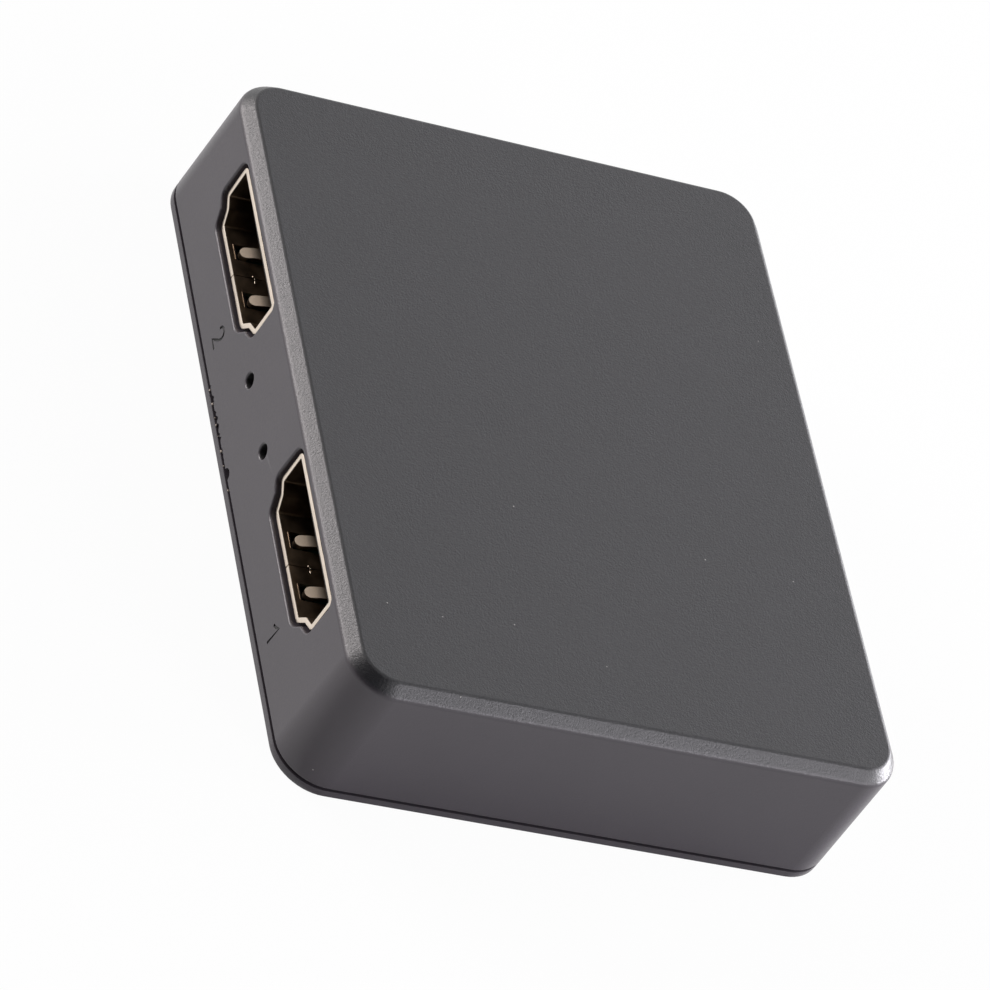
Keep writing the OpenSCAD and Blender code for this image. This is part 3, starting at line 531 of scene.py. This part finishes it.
# %% Slots and spring fingers
SLOT_R = 0.2 * MM
BURR_LEN, BURR_W = 1.6 * MM, 0.12 * MM
BURRS = {-FINGER_X: 0.045 * MM, FINGER_X: 0.03 * MM}
WALLS = ((MOUTH_FLOOR - SHEET, 1), (MOUTH_FLOOR + MOUTH_H, -1))
for x in (-FINGER_X, FINGER_X):
    for wall_low, up in WALLS:
        slot = finger_blank("slot", x, slot_front + BOND, FINGER_W / 2 + FINGER_SLOT,
                            wall_low - SHEET, wall_low + 2 * SHEET, SLOT_R)
        slot.data.transform(Matrix.Translation((0, -BOND, 0)))
        cut_away(socket_shell, slot)
for x in (-FINGER_X, FINGER_X):
    for wall_low, up in WALLS:
        inner, rise = (wall_low + SHEET if up > 0 else wall_low), BURRS[x]
        burr = block("burr", (x - BURR_LEN / 2, slot_front - BURR_W, inner - rise),
                     (x + BURR_LEN / 2, slot_front, inner + rise))
        pick(burr, "EDGE", lambda e: all(up * (v.co.z - inner) > 0 for v in e.verts))
        bpy.ops.mesh.bevel(offset=rise * 0.8, segments=3, affect="EDGES")
        bpy.ops.object.mode_set(mode="OBJECT")
        weld_on(socket_shell, burr)
        finger = finger_blank("finger", x, MOUTH_Y + FINGER_TIP, FINGER_W / 2, wall_low, wall_low + SHEET,
                              FINGER_W / 2 * 0.98)
        for step in range(1, 15):
            pick(finger, "FACE", lambda f: True)
            bpy.ops.mesh.bisect(plane_co=(0, MOUTH_Y + FINGER_TIP + FINGER_LEN * step / 15, 0), plane_no=(0, 1, 0))
        bpy.ops.object.mode_set(mode="OBJECT")
        for point in finger.data.vertices:
            point.co.z += up * finger_rise(point.co.y)
        weld_on(socket_shell, finger)
print("socket with fingers", len(socket_shell.data.polygons), "faces")

# %% [markdown]
# The rest of the stamping: the thin butt joint with a few specks of burr beside it, the open floor behind the moulding,
# the flap that closes the back, and four legs that go through the board. Only the front rim shows, so it gets the
# finest rounding.

# %% Butt joint, back flap and legs
LEG_W, LEG_OUT = 1.4 * MM, 0.6 * MM
LEG_YS = (3.4 * MM, SOCKET_LEN - 2.8 * MM)
FLAP_LOW = 1.6 * MM
board_low, board_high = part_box("circuit_board")
cut_away(socket_shell,
         block("butt", (-BUTT_GAP / 2, MOUTH_Y - CUT, MOUTH_FLOOR - 2 * SHEET),
               (BUTT_GAP / 2, MOUTH_Y + SOCKET_LEN + CUT, MOUTH_FLOOR + SHEET / 2)),
         block("open_floor", (-MOUTH_W / 2, MOUTH_Y + SOCKET_LEN - FLOOR_CUTBACK, MOUTH_FLOOR - CUT),
               (MOUTH_W / 2, MOUTH_Y + SOCKET_LEN + CUT, MOUTH_FLOOR)))
SPECKS = ((-0.2, 1.85, 0.2, 0.1), (0.02, 2.0, 0.1, 0.14), (0.36, 1.95, 0.34, 0.11))
SPECK_H = 0.03 * MM
for x, deep, length, width in SPECKS:
    let_go()
    bpy.ops.mesh.primitive_ico_sphere_add(subdivisions=2, radius=1,
                                          location=(x * MM, MOUTH_Y + deep * MM, MOUTH_FLOOR))
    speck = bpy.context.object
    speck.scale = (length / 2 * MM, width / 2 * MM, SPECK_H)
    bpy.ops.object.transform_apply(location=True, rotation=True, scale=True)
    weld_on(socket_shell, speck)
weld_on(socket_shell, block("flap", (-MOUTH_NARROW / 2, MOUTH_Y + SOCKET_LEN - SHEET, board_high.z + FLAP_LOW),
                            (MOUTH_NARROW / 2, MOUTH_Y + SOCKET_LEN, MOUTH_FLOOR + MOUTH_H + SHEET / 2)))
for side in (-1, 1):
    for y in LEG_YS:
        middle = side * (MOUTH_W + SHEET) / 2
        leg = block("leg", (middle - SHEET / 2, MOUTH_Y + y - LEG_W / 2, board_low.z - LEG_OUT),
                    (middle + SHEET / 2, MOUTH_Y + y + LEG_W / 2, MOUTH_FLOOR + SHOULDER_Z + CUT))
        pick(leg, "EDGE", lambda e: all(v.co.z < board_low.z for v in e.verts)
             and abs(e.verts[0].co.y - e.verts[1].co.y) < 1e-7)
        bpy.ops.mesh.bevel(offset=0.4 * MM, segments=3, affect="EDGES")
        bpy.ops.object.mode_set(mode="OBJECT")
        weld_on(socket_shell, leg)
rim = pick(socket_shell, "EDGE", lambda e: all(abs(v.co.y - MOUTH_Y) < 1e-6 for v in e.verts)
           and e.calc_face_angle(0) > 0.6)
bpy.ops.mesh.bevel(offset=0.08 * MM, segments=2, affect="EDGES", clamp_overlap=False)
bpy.ops.object.mode_set(mode="OBJECT")
soften(socket_shell, 35)
print("rim edges", rim, "faces", len(socket_shell.data.polygons))

# %% [markdown]
# The plating is bright where the sheet shows outside and dull on the fingers that plugs rub. Inside, painted shade
# darkens it, for the cavity reflects only itself. So the faces are sorted by place and direction into three finishes.

# %% Three finishes on one stamping
# The second finish is painted shade for the inside; the third is the fingers' plating, with painted shade deeper in.
OUTSIDE, SHADED_INSIDE, RUBBED_AND_SHADED = 0, 1, 2
mouth_mid = MOUTH_FLOOR + MOUTH_H / 2
for face in socket_shell.data.polygons:
    middle, normal = face.center, face.normal
    aside = abs(abs(middle.x) - FINGER_X)
    inward = normal.x * middle.x + normal.z * (middle.z - mouth_mid) < 0
    raised = MOUTH_H / 2 - abs(middle.z - mouth_mid) > 0.005 * MM
    at_finger = aside < FINGER_W / 2 + 1e-5 and MOUTH_Y + FINGER_TIP - 1e-5 < middle.y < finger_root
    at_burr = aside < BURR_LEN / 2 and slot_front - BURR_W - 1e-6 < middle.y < slot_front - 1e-6
    at_speck = abs(middle.x) < 0.7 * MM and middle.z < MOUTH_FLOOR + 2 * SPECK_H and middle.y < MOUTH_Y + 2.2 * MM
    # Fingers' upper faces and the specks of burr take the finger finish, pale and unshaded at their depth.
    if raised and (inward and at_finger and abs(normal.z) > 0.8 or at_speck):
        face.material_index = RUBBED_AND_SHADED
    elif at_burr or at_finger or inward and abs(normal.y) < 0.5 and middle.y > MOUTH_Y + 0.12 * MM:
        face.material_index = SHADED_INSIDE
    else:
        face.material_index = OUTSIDE
counts = [sum(f.material_index == i for f in socket_shell.data.polygons) for i in (OUTSIDE, SHADED_INSIDE, RUBBED_AND_SHADED)]
print("outside, inside and rubbed faces", counts)

# %% [markdown]
# The three video sockets are alike, so one is modelled and copied, each with a mesh of its own. The input makes half a
# turn about the upright axis.

# %% Three sockets from one
output_2_socket = socket_shell.copy()
output_2_socket.data = socket_shell.data.copy()
input_socket = socket_shell.copy()
input_socket.data = socket_shell.data.copy()
for copy, name in ((output_2_socket, "output_2_socket"), (input_socket, "input_socket")):
    copy.name = name
    bpy.context.scene.collection.objects.link(copy)
SOCKETS = {"output_1": socket_shell, "output_2": output_2_socket, "input": input_socket}
for name, piece in SOCKETS.items():
    placed(piece, *PLACES[name])
    print(name, [round(v / MM, 2) for v in piece.dimensions])

# %% [markdown]
# Each new piece rides on the one body of this object and stands for its CAD node.

# %% Tie the pieces to the frame
for piece, node_name, slot_name in [(case_top, "top_shell", "case_abs"), (case_cover, "bottom_cover", "case_abs")] + [
        (piece, name + "_shell", "plated_sheet") for name, piece in SOCKETS.items()]:
    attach(piece, "root")
    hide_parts(node_name)
    print(piece.name, "stands for", node_name)

# %% [markdown]
# Every finish is a node tree on Object coordinates, so a pattern stays on its piece from any side. One function turns
# an sRGB hex colour into Blender's linear one, and one adds a node with its settings and links.

# %% Tools for the finishes
def colour(text):
    """Linear colour from an sRGB hex value."""
    parts = [int(text[i:i + 2], 16) / 255 for i in (1, 3, 5)]
    return tuple(c / 12.92 if c <= 0.04045 else ((c + 0.055) / 1.055) ** 2.4 for c in parts) + (1.0,)


def add(tree, kind, inputs=None, **settings):
    """A node with its settings, and values or links on its inputs."""
    made = tree.nodes.new(kind)
    for name, value in settings.items():
        setattr(made, name, value)
    for name, value in (inputs or {}).items():
        if isinstance(value, bpy.types.NodeSocket):
            tree.links.new(value, made.inputs[name])
        else:
            made.inputs[name].default_value = value
    return made


def finish(name):
    """A material with its tree and shader, new unless a cut has already brought it in."""
    made = bpy.data.materials.get(name) or bpy.data.materials.new(name)
    made.use_nodes = True
    return made, made.node_tree, made.node_tree.nodes["Principled BSDF"]


def per_mm(size):
    """Texture scale for a feature of this many millimetres."""
    return 1 / (size * MM)


def dress(piece, *materials):
    """Gives a piece its finishes slot by slot, and keeps those that a cut has brought in."""
    for i, material in enumerate(materials):
        if i < len(piece.data.materials):
            piece.data.materials[i] = material
        else:
            piece.data.materials.append(material)


# %% [markdown]
# The case is black ABS, moulded in a tool with a spark-eroded texture: a fine even grain that scatters the light, strong
# on the top and its bevel and polished down on the sides. The flat top is the dullest, so it never mirrors a lamp. The
# grain is about 0.1 mm on the real case, and is drawn at 0.17 mm so that it shows at this picture's size. A few specks
# of dust sit on the top.

# %% Finish of the case
abs_case, tree, shader = finish("black_abs_spark_textured")
place = add(tree, "ShaderNodeTexCoord").outputs["Object"]
height = add(tree, "ShaderNodeSeparateXYZ", {"Vector": place}).outputs["Z"]
grain = add(tree, "ShaderNodeTexNoise", {"Vector": place, "Scale": per_mm(0.17), "Detail": 3.0, "Roughness": 0.65})
mottle = add(tree, "ShaderNodeTexNoise", {"Vector": place, "Scale": per_mm(7), "Detail": 4.0, "Roughness": 0.6})
specks = add(tree, "ShaderNodeTexVoronoi", {"Vector": place, "Scale": per_mm(2.6), "Randomness": 1.0})
lot = add(tree, "ShaderNodeSeparateColor", {"Color": specks.outputs["Color"]}).outputs["Red"]
rare = add(tree, "ShaderNodeMath", {0: lot, 1: 0.5}, operation="GREATER_THAN").outputs[0]
small = add(tree, "ShaderNodeMapRange", {"Value": specks.outputs["Distance"], "From Min": 0.03, "From Max": 0.015,
                                         "To Min": 0.0, "To Max": 0.75}).outputs[0]
dust = add(tree, "ShaderNodeMath", {0: rare, 1: small}, operation="MULTIPLY").outputs[0]
upper = add(tree, "ShaderNodeMapRange", {"Value": height, "From Min": BEVEL_Z - 0.05 * MM,
                                         "From Max": BEVEL_Z + 0.3 * MM}).outputs[0]
relief = add(tree, "ShaderNodeMapRange", {"Value": upper, "To Min": 0.22}).outputs[0]
# The sides take a lighter grey than the top and bevel, though the plastic is one black: painted light for the light the
# sides catch.
low = add(tree, "ShaderNodeMix", {"Factor": mottle.outputs["Fac"], "A": colour("#3C383D"), "B": colour("#423E43")},
          data_type="RGBA").outputs["Result"]
high = add(tree, "ShaderNodeMix", {"Factor": mottle.outputs["Fac"], "A": colour("#212123"), "B": colour("#262629")},
           data_type="RGBA").outputs["Result"]
tint = add(tree, "ShaderNodeMix", {"Factor": upper, "A": low, "B": high}, data_type="RGBA").outputs["Result"]
shown = add(tree, "ShaderNodeMix", {"Factor": dust, "A": tint, "B": colour("#A9A7A2")}, data_type="RGBA")
tree.links.new(shown.outputs["Result"], shader.inputs["Base Color"])
rough = add(tree, "ShaderNodeMapRange", {"Value": grain.outputs["Fac"], "From Min": 0.3, "From Max": 0.7,
                                         "To Min": 0.31, "To Max": 0.42}).outputs[0]
flat = add(tree, "ShaderNodeMapRange", {"Value": height, "From Min": TOP_Z - 0.12 * MM,
                                        "From Max": TOP_Z - 0.03 * MM}).outputs[0]
rough = add(tree, "ShaderNodeMath", {0: flat, 1: 0.2, 2: rough}, operation="MULTIPLY_ADD").outputs[0]
tree.links.new(rough, shader.inputs["Roughness"])
bump = add(tree, "ShaderNodeBump", {"Height": grain.outputs["Fac"], "Strength": relief, "Distance": 0.035 * MM})
tree.links.new(bump.outputs["Normal"], shader.inputs["Normal"])
dress(case_top, abs_case)
dress(case_cover, abs_case)
print(abs_case.name, "has", len(tree.nodes), "nodes")

# %% [markdown]
# The socket shells are stamped from thin sheet and plated a warm champagne colour. The roll leaves faint lines along the
# sheet, and handling leaves duller patches, so the roughness drifts while the metal stays one colour.

# %% Finish of the socket shells
plated, tree, shader = finish("champagne_plated_sheet_rolled")
place = add(tree, "ShaderNodeTexCoord").outputs["Object"]
stretch = add(tree, "ShaderNodeMapping", {"Vector": place, "Scale": (1.0, 0.08, 1.0)}).outputs[0]
lines = add(tree, "ShaderNodeTexNoise", {"Vector": stretch, "Scale": per_mm(0.12), "Detail": 2.0})
patches = add(tree, "ShaderNodeTexNoise", {"Vector": place, "Scale": per_mm(1.4), "Detail": 3.0})
tint = add(tree, "ShaderNodeMix", {"Factor": patches.outputs["Fac"], "A": colour("#D8C9B8"), "B": colour("#E6DACC")},
           data_type="RGBA")
tree.links.new(tint.outputs["Result"], shader.inputs["Base Color"])
rough = add(tree, "ShaderNodeMapRange", {"Value": patches.outputs["Fac"], "From Min": 0.3, "From Max": 0.7,
                                         "To Min": 0.24, "To Max": 0.38}).outputs[0]
tree.links.new(rough, shader.inputs["Roughness"])
bump = add(tree, "ShaderNodeBump", {"Height": lines.outputs["Fac"], "Strength": 0.3, "Distance": 0.01 * MM})
tree.links.new(bump.outputs["Normal"], shader.inputs["Normal"])
shader.inputs["Metallic"].default_value = 1.0
dress(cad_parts["power_shell"], plated)
print(plated.name, "has", len(tree.nodes), "nodes")

# %% [markdown]
# The inner parts hardly show, yet each has its real finish: moulded black plastic, gilt contacts, green lacquered
# laminate, tinned leads, drawn aluminium, fired ceramic and clear resin. One loop makes them from a table of two
# colours, grain in millimetres, roughness, metallic share and bump, because all are fine even grains.

# %% Finishes of the inner parts
INNER = [
    # Glass-filled black moulding: satin, with a faint grain
    ("black_polymer_moulded", "#121110", "#1C1A18", 0.20, 0.38, 0.0, 0.010,
     ["output_1_insulator", "output_2_insulator", "input_insulator", "power_insulator"]),
    # Gilt copper alloy: bright, with slightly dull patches
    ("gilt_copper_contacts", "#D9AE5C", "#E8C47C", 0.30, 0.25, 1.0, 0.004,
     ["output_1_contacts", "output_2_contacts", "input_contacts", "power_contacts"]),
    # Green solder lacquer over glass cloth, whose weave of about half a millimetre just shows
    ("green_lacquered_laminate", "#08281B", "#0D3424", 0.50, 0.30, 0.0, 0.015, ["circuit_board"]),
    # Inside of the socket sheet: painted shade for a cavity that reflects only itself, with patches of painted sheen
    ("plated_sheet_painted_shade_inside", "#453A30", "#94806A", 1.20, 0.40, 1.0, 0.006, []),
    # Crumbs of plastic that stress has turned pale
    ("whitened_abs_crumbs", "#857C72", "#B0A69A", 0.10, 0.60, 0.0, 0.006, []),
    # Walls of the grooves, the light holes, the deep notch and the chewed seam: a black darker than the case, painted
    # shade
    ("black_abs_painted_recess_shade", "#121112", "#1A191A", 0.10, 0.60, 0.0, 0.006, []),
    # Moulded epoxy of chips and small resistors: matt, as ejected
    ("black_epoxy_moulded", "#1B1B1C", "#272728", 0.12, 0.55, 0.0, 0.012,
     ["splitter_chip", "memory_chip", "regulator", "crystal_base", "bulk_capacitor_bases", "chip_resistors"]),
    # Tin: pale grey metal, soft and slightly uneven
    ("tin_plated_leads", "#B9B9B7", "#CFCFCC", 0.25, 0.35, 1.0, 0.006,
     ["splitter_chip_leads", "memory_chip_leads", "regulator_leads", "crystal_leads", "chip_end_caps"]),
    # Zinc-plated steel screws
    ("zinc_plated_steel", "#A7A9AC", "#BCBEC0", 0.18, 0.32, 1.0, 0.006, ["board_screws"]),
    # Drawn aluminium cans and the crystal's pressed can: fine drawing grain
    ("drawn_aluminium_cans", "#C6C7C9", "#D8D9DA", 0.15, 0.30, 1.0, 0.008, ["bulk_capacitor_cans", "crystal_can"]),
    # Fired ceramic of the small capacitors
    ("fired_ceramic", "#9A7B58", "#AE8E69", 0.10, 0.45, 0.0, 0.006, ["chip_capacitors"]),
    # White reflector moulding of the lights
    ("white_polymer_moulded", "#DAD9D3", "#E6E5DF", 0.20, 0.45, 0.0, 0.006, ["output_led_bodies"]),
    # Clear resin lens
    ("clear_resin_cast", "#D3DCE2", "#E4EBEF", 0.30, 0.12, 0.0, 0.003, ["output_led_lenses"]),
]
for name, dark, light, grain_mm, roughness, metallic, bump_mm, node_names in INNER:
    made, tree, shader = finish(name)
    place = add(tree, "ShaderNodeTexCoord").outputs["Object"]
    grain = add(tree, "ShaderNodeTexNoise", {"Vector": place, "Scale": per_mm(grain_mm), "Detail": 2.0})
    tint = add(tree, "ShaderNodeMix", {"Factor": grain.outputs["Fac"], "A": colour(dark), "B": colour(light)},
               data_type="RGBA")
    tree.links.new(tint.outputs["Result"], shader.inputs["Base Color"])
    rough = add(tree, "ShaderNodeMapRange", {"Value": grain.outputs["Fac"], "From Min": 0.3, "From Max": 0.7,
                                             "To Min": roughness - 0.05, "To Max": roughness + 0.05})
    tree.links.new(rough.outputs[0], shader.inputs["Roughness"])
    bump = add(tree, "ShaderNodeBump", {"Height": grain.outputs["Fac"], "Strength": 0.5, "Distance": bump_mm * MM})
    tree.links.new(bump.outputs["Normal"], shader.inputs["Normal"])
    shader.inputs["Metallic"].default_value = metallic
    for node_name in node_names:
        dress(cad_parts[node_name], made)
print("inner finishes", len(INNER))

# %% [markdown]
# The spring fingers show the pale plating near their tips, where plugs rub them to a satin. Deeper in, the socket's
# upper wall shades them, and that shade is painted: the fingers' colour fades to dark with the depth behind the mouth,
# which is the same for all three sockets.

# %% Finish of the spring fingers
rubbed_and_shaded, tree, shader = finish("rubbed_plated_sheet_painted_shade")
place = add(tree, "ShaderNodeTexCoord").outputs["Object"]
across = add(tree, "ShaderNodeSeparateXYZ", {"Vector": place}).outputs["Y"]
out_by = add(tree, "ShaderNodeMath", {0: across}, operation="ABSOLUTE").outputs[0]
unshaded_near_tip = add(tree, "ShaderNodeMapRange", {"Value": out_by, "From Min": -MOUTH_Y - FINGER_TIP - 1.9 * MM,
                                        "From Max": -MOUTH_Y - FINGER_TIP - 0.9 * MM}).outputs[0]
scuffs = add(tree, "ShaderNodeTexNoise", {"Vector": place, "Scale": per_mm(0.16), "Detail": 2.0})
pale = add(tree, "ShaderNodeMix", {"Factor": scuffs.outputs["Fac"], "A": colour("#D6C6B2"), "B": colour("#E4D6C4")},
           data_type="RGBA").outputs["Result"]
# Dark deep in, pale near the tip: painted shade for the socket's upper wall.
tint = add(tree, "ShaderNodeMix", {"Factor": unshaded_near_tip, "A": colour("#3A3129"), "B": pale}, data_type="RGBA")
tree.links.new(tint.outputs["Result"], shader.inputs["Base Color"])
bump = add(tree, "ShaderNodeBump", {"Height": scuffs.outputs["Fac"], "Strength": 0.5, "Distance": 0.012 * MM})
tree.links.new(bump.outputs["Normal"], shader.inputs["Normal"])
shader.inputs["Metallic"].default_value = 1.0
shader.inputs["Roughness"].default_value = 0.58
for piece in SOCKETS.values():
    dress(piece, plated, bpy.data.materials["plated_sheet_painted_shade_inside"], rubbed_and_shaded)
print(rubbed_and_shaded.name, "has", len(tree.nodes), "nodes")

# %% [markdown]
# The photograph was taken from high up with a long lens, rolled on its side. The camera's place and axes come from a fit
# of the case's outline, and a long lens on a 36 mm sensor gives its mild perspective.

# %% Camera
camera_data = bpy.data.cameras.new("camera")
camera = bpy.data.objects.new("camera", camera_data)
bpy.context.scene.collection.objects.link(camera)
bpy.context.scene.camera = camera
camera_data.sensor_width = 36.0
camera_data.lens = 223.80
camera_data.clip_start, camera_data.clip_end = 0.01, 10.0
RIGHT, UP, BACK = (0.16917, 0.86477, 0.47282), (-0.78024, -0.17560, 0.60032), (0.60216, -0.47047, 0.64503)
axes = Matrix((RIGHT, UP, BACK)).transposed().to_4x4()
camera.matrix_world = Matrix.Translation((0.30208, -0.23744, 0.32697)) @ axes
print("camera at", [round(v, 3) for v in camera.location])

# %% [markdown]
# Dark textured plastic is drawn by what it reflects, so the light is placed by reflection. The bevel over the outputs
# mirrors one low soft box, the end bevel mirrors a weaker one, the top and the far corner mirror two low panels behind,
# and the pale room and floor give the rest. A black card behind the camera keeps the near corner of the bevel dark. The
# floor glows white to the eye and to reflections, less so close to the end where the case's shadow falls.

# %% Floor
let_go()
bpy.ops.mesh.primitive_plane_add(size=6, location=(0, 0, -0.02 * MM))
floor = bpy.context.object
floor.name = "floor"
bpy.ops.object.transform_apply(location=True, rotation=True, scale=True)
floor_paper, tree, shader = finish("white_paper_floor")
shader.inputs["Base Color"].default_value = colour("#FFFFFF")
shader.inputs["Roughness"].default_value = 0.9
path = add(tree, "ShaderNodeLightPath")
place = add(tree, "ShaderNodeTexCoord").outputs["Object"]
along = add(tree, "ShaderNodeSeparateXYZ", {"Vector": place}).outputs["X"]
clear = add(tree, "ShaderNodeMapRange", {"Value": along, "From Min": CASE_W / 2, "From Max": CASE_W / 2 + 14 * MM,
                                         "To Min": 0.0, "To Max": 0.96}).outputs[0]
beside = add(tree, "ShaderNodeMath", {0: along, 1: CASE_W / 2}, operation="LESS_THAN").outputs[0]
mirrored = add(tree, "ShaderNodeMath", {0: clear, 1: beside}, operation="MAXIMUM").outputs[0]
mirrored = add(tree, "ShaderNodeMath", {0: mirrored, 1: 0.96}, operation="MINIMUM").outputs[0]
glossy = add(tree, "ShaderNodeMath", {0: path.outputs["Is Glossy Ray"], 1: mirrored}, operation="MULTIPLY").outputs[0]
direct = add(tree, "ShaderNodeMath", {0: path.outputs["Is Camera Ray"], 1: path.outputs["Is Transmission Ray"]},
             operation="MAXIMUM").outputs[0]
direct = add(tree, "ShaderNodeMath", {0: direct, 1: 0.96}, operation="MULTIPLY").outputs[0]
share = add(tree, "ShaderNodeMath", {0: direct, 1: glossy}, operation="MAXIMUM").outputs[0]
glow = add(tree, "ShaderNodeEmission", {"Color": (1, 1, 1, 1), "Strength": 1.0}).outputs[0]
mixed = add(tree, "ShaderNodeMixShader", {0: share, 1: shader.outputs[0], 2: glow}).outputs[0]
tree.links.new(mixed, tree.nodes["Material Output"].inputs["Surface"])
floor.data.materials.append(floor_paper)
print("floor", [round(v, 2) for v in floor.dimensions])

# %% [markdown]
# The room is a plain pale world: white to the eye, in reflections and through clear pieces, and dim in the light that
# it casts, so that the lamps shape the case.

# %% Room
world = bpy.data.worlds.new("pale_room")
bpy.context.scene.world = world
world.use_nodes = True
tree = world.node_tree
path = add(tree, "ShaderNodeLightPath")
seen = add(tree, "ShaderNodeMath", {0: path.outputs["Is Camera Ray"], 1: path.outputs["Is Glossy Ray"]},
           operation="MAXIMUM").outputs[0]
seen = add(tree, "ShaderNodeMath", {0: seen, 1: path.outputs["Is Transmission Ray"]}, operation="MAXIMUM").outputs[0]
level = add(tree, "ShaderNodeMapRange", {"Value": seen, "To Min": 0.22, "To Max": 1.0}).outputs[0]
tree.links.new(level, tree.nodes["Background"].inputs["Strength"])
tree.nodes["Background"].inputs["Color"].default_value = (1, 1, 1, 1)
print("room", world.name)

# %% [markdown]
# A soft box is an area lamp, given by its direction, distance, size and the brightness of its panel, so its power
# follows from its size. The camera sees none of them.

# %% Soft boxes
BOXES = [
    # name, direction from the object, distance, width, height, brightness and tint of the panel
    ("output_side_box", (-0.66, -0.69, 0.27), 0.9, 0.50, 0.50, 10.2, "#FFF8F8"),
    ("end_box", (0.72, 0.56, 0.41), 0.9, 0.40, 0.35, 8.8, "#FBF7FF"),
    ("far_low_panel", (-0.78, 0.57, 0.24), 1.1, 0.90, 0.40, 1.9, "#FBF9FF"),
    ("back_low_panel", (-0.08, 1.0, 0.13), 1.0, 0.70, 0.25, 39.0, "#FBF9FF"),
]
for name, direction, distance, width, tall, brightness, hue in BOXES:
    lamp_data = bpy.data.lights.new(name, "AREA")
    lamp_data.shape = "RECTANGLE"
    lamp_data.size, lamp_data.size_y = width, tall
    lamp_data.energy = brightness * math.pi * width * tall
    lamp_data.color = colour(hue)[:3]
    lamp = bpy.data.objects.new(name, lamp_data)
    bpy.context.scene.collection.objects.link(lamp)
    towards = Vector(direction).normalized()
    lamp.location = towards * distance
    lamp.rotation_euler = towards.to_track_quat("Z", "Y").to_euler()
    lamp.visible_camera = False
    print(name, "gives", round(lamp_data.energy, 2), "W")

# %% The black card
CARD_DISTANCE, CARD_SIZE = 0.8, 1.5
towards = Vector((0.50, -0.60, 0.62)).normalized()
let_go()
bpy.ops.mesh.primitive_plane_add(size=CARD_SIZE, location=towards * CARD_DISTANCE,
                                 rotation=towards.to_track_quat("Z", "Y").to_euler())
card = bpy.context.object
card.name = "black_card"
bpy.ops.object.transform_apply(location=True, rotation=True, scale=True)
card_paper, tree, shader = finish("black_card_paper")
shader.inputs["Base Color"].default_value = colour("#101010")
shader.inputs["Roughness"].default_value = 0.9
card.data.materials.append(card_paper)
print("card", [round(v, 2) for v in card.dimensions])

# %% [markdown]
# Plain view settings keep each colour about as it is written.

# %% Finish
bpy.context.scene.view_settings.view_transform = "Standard"
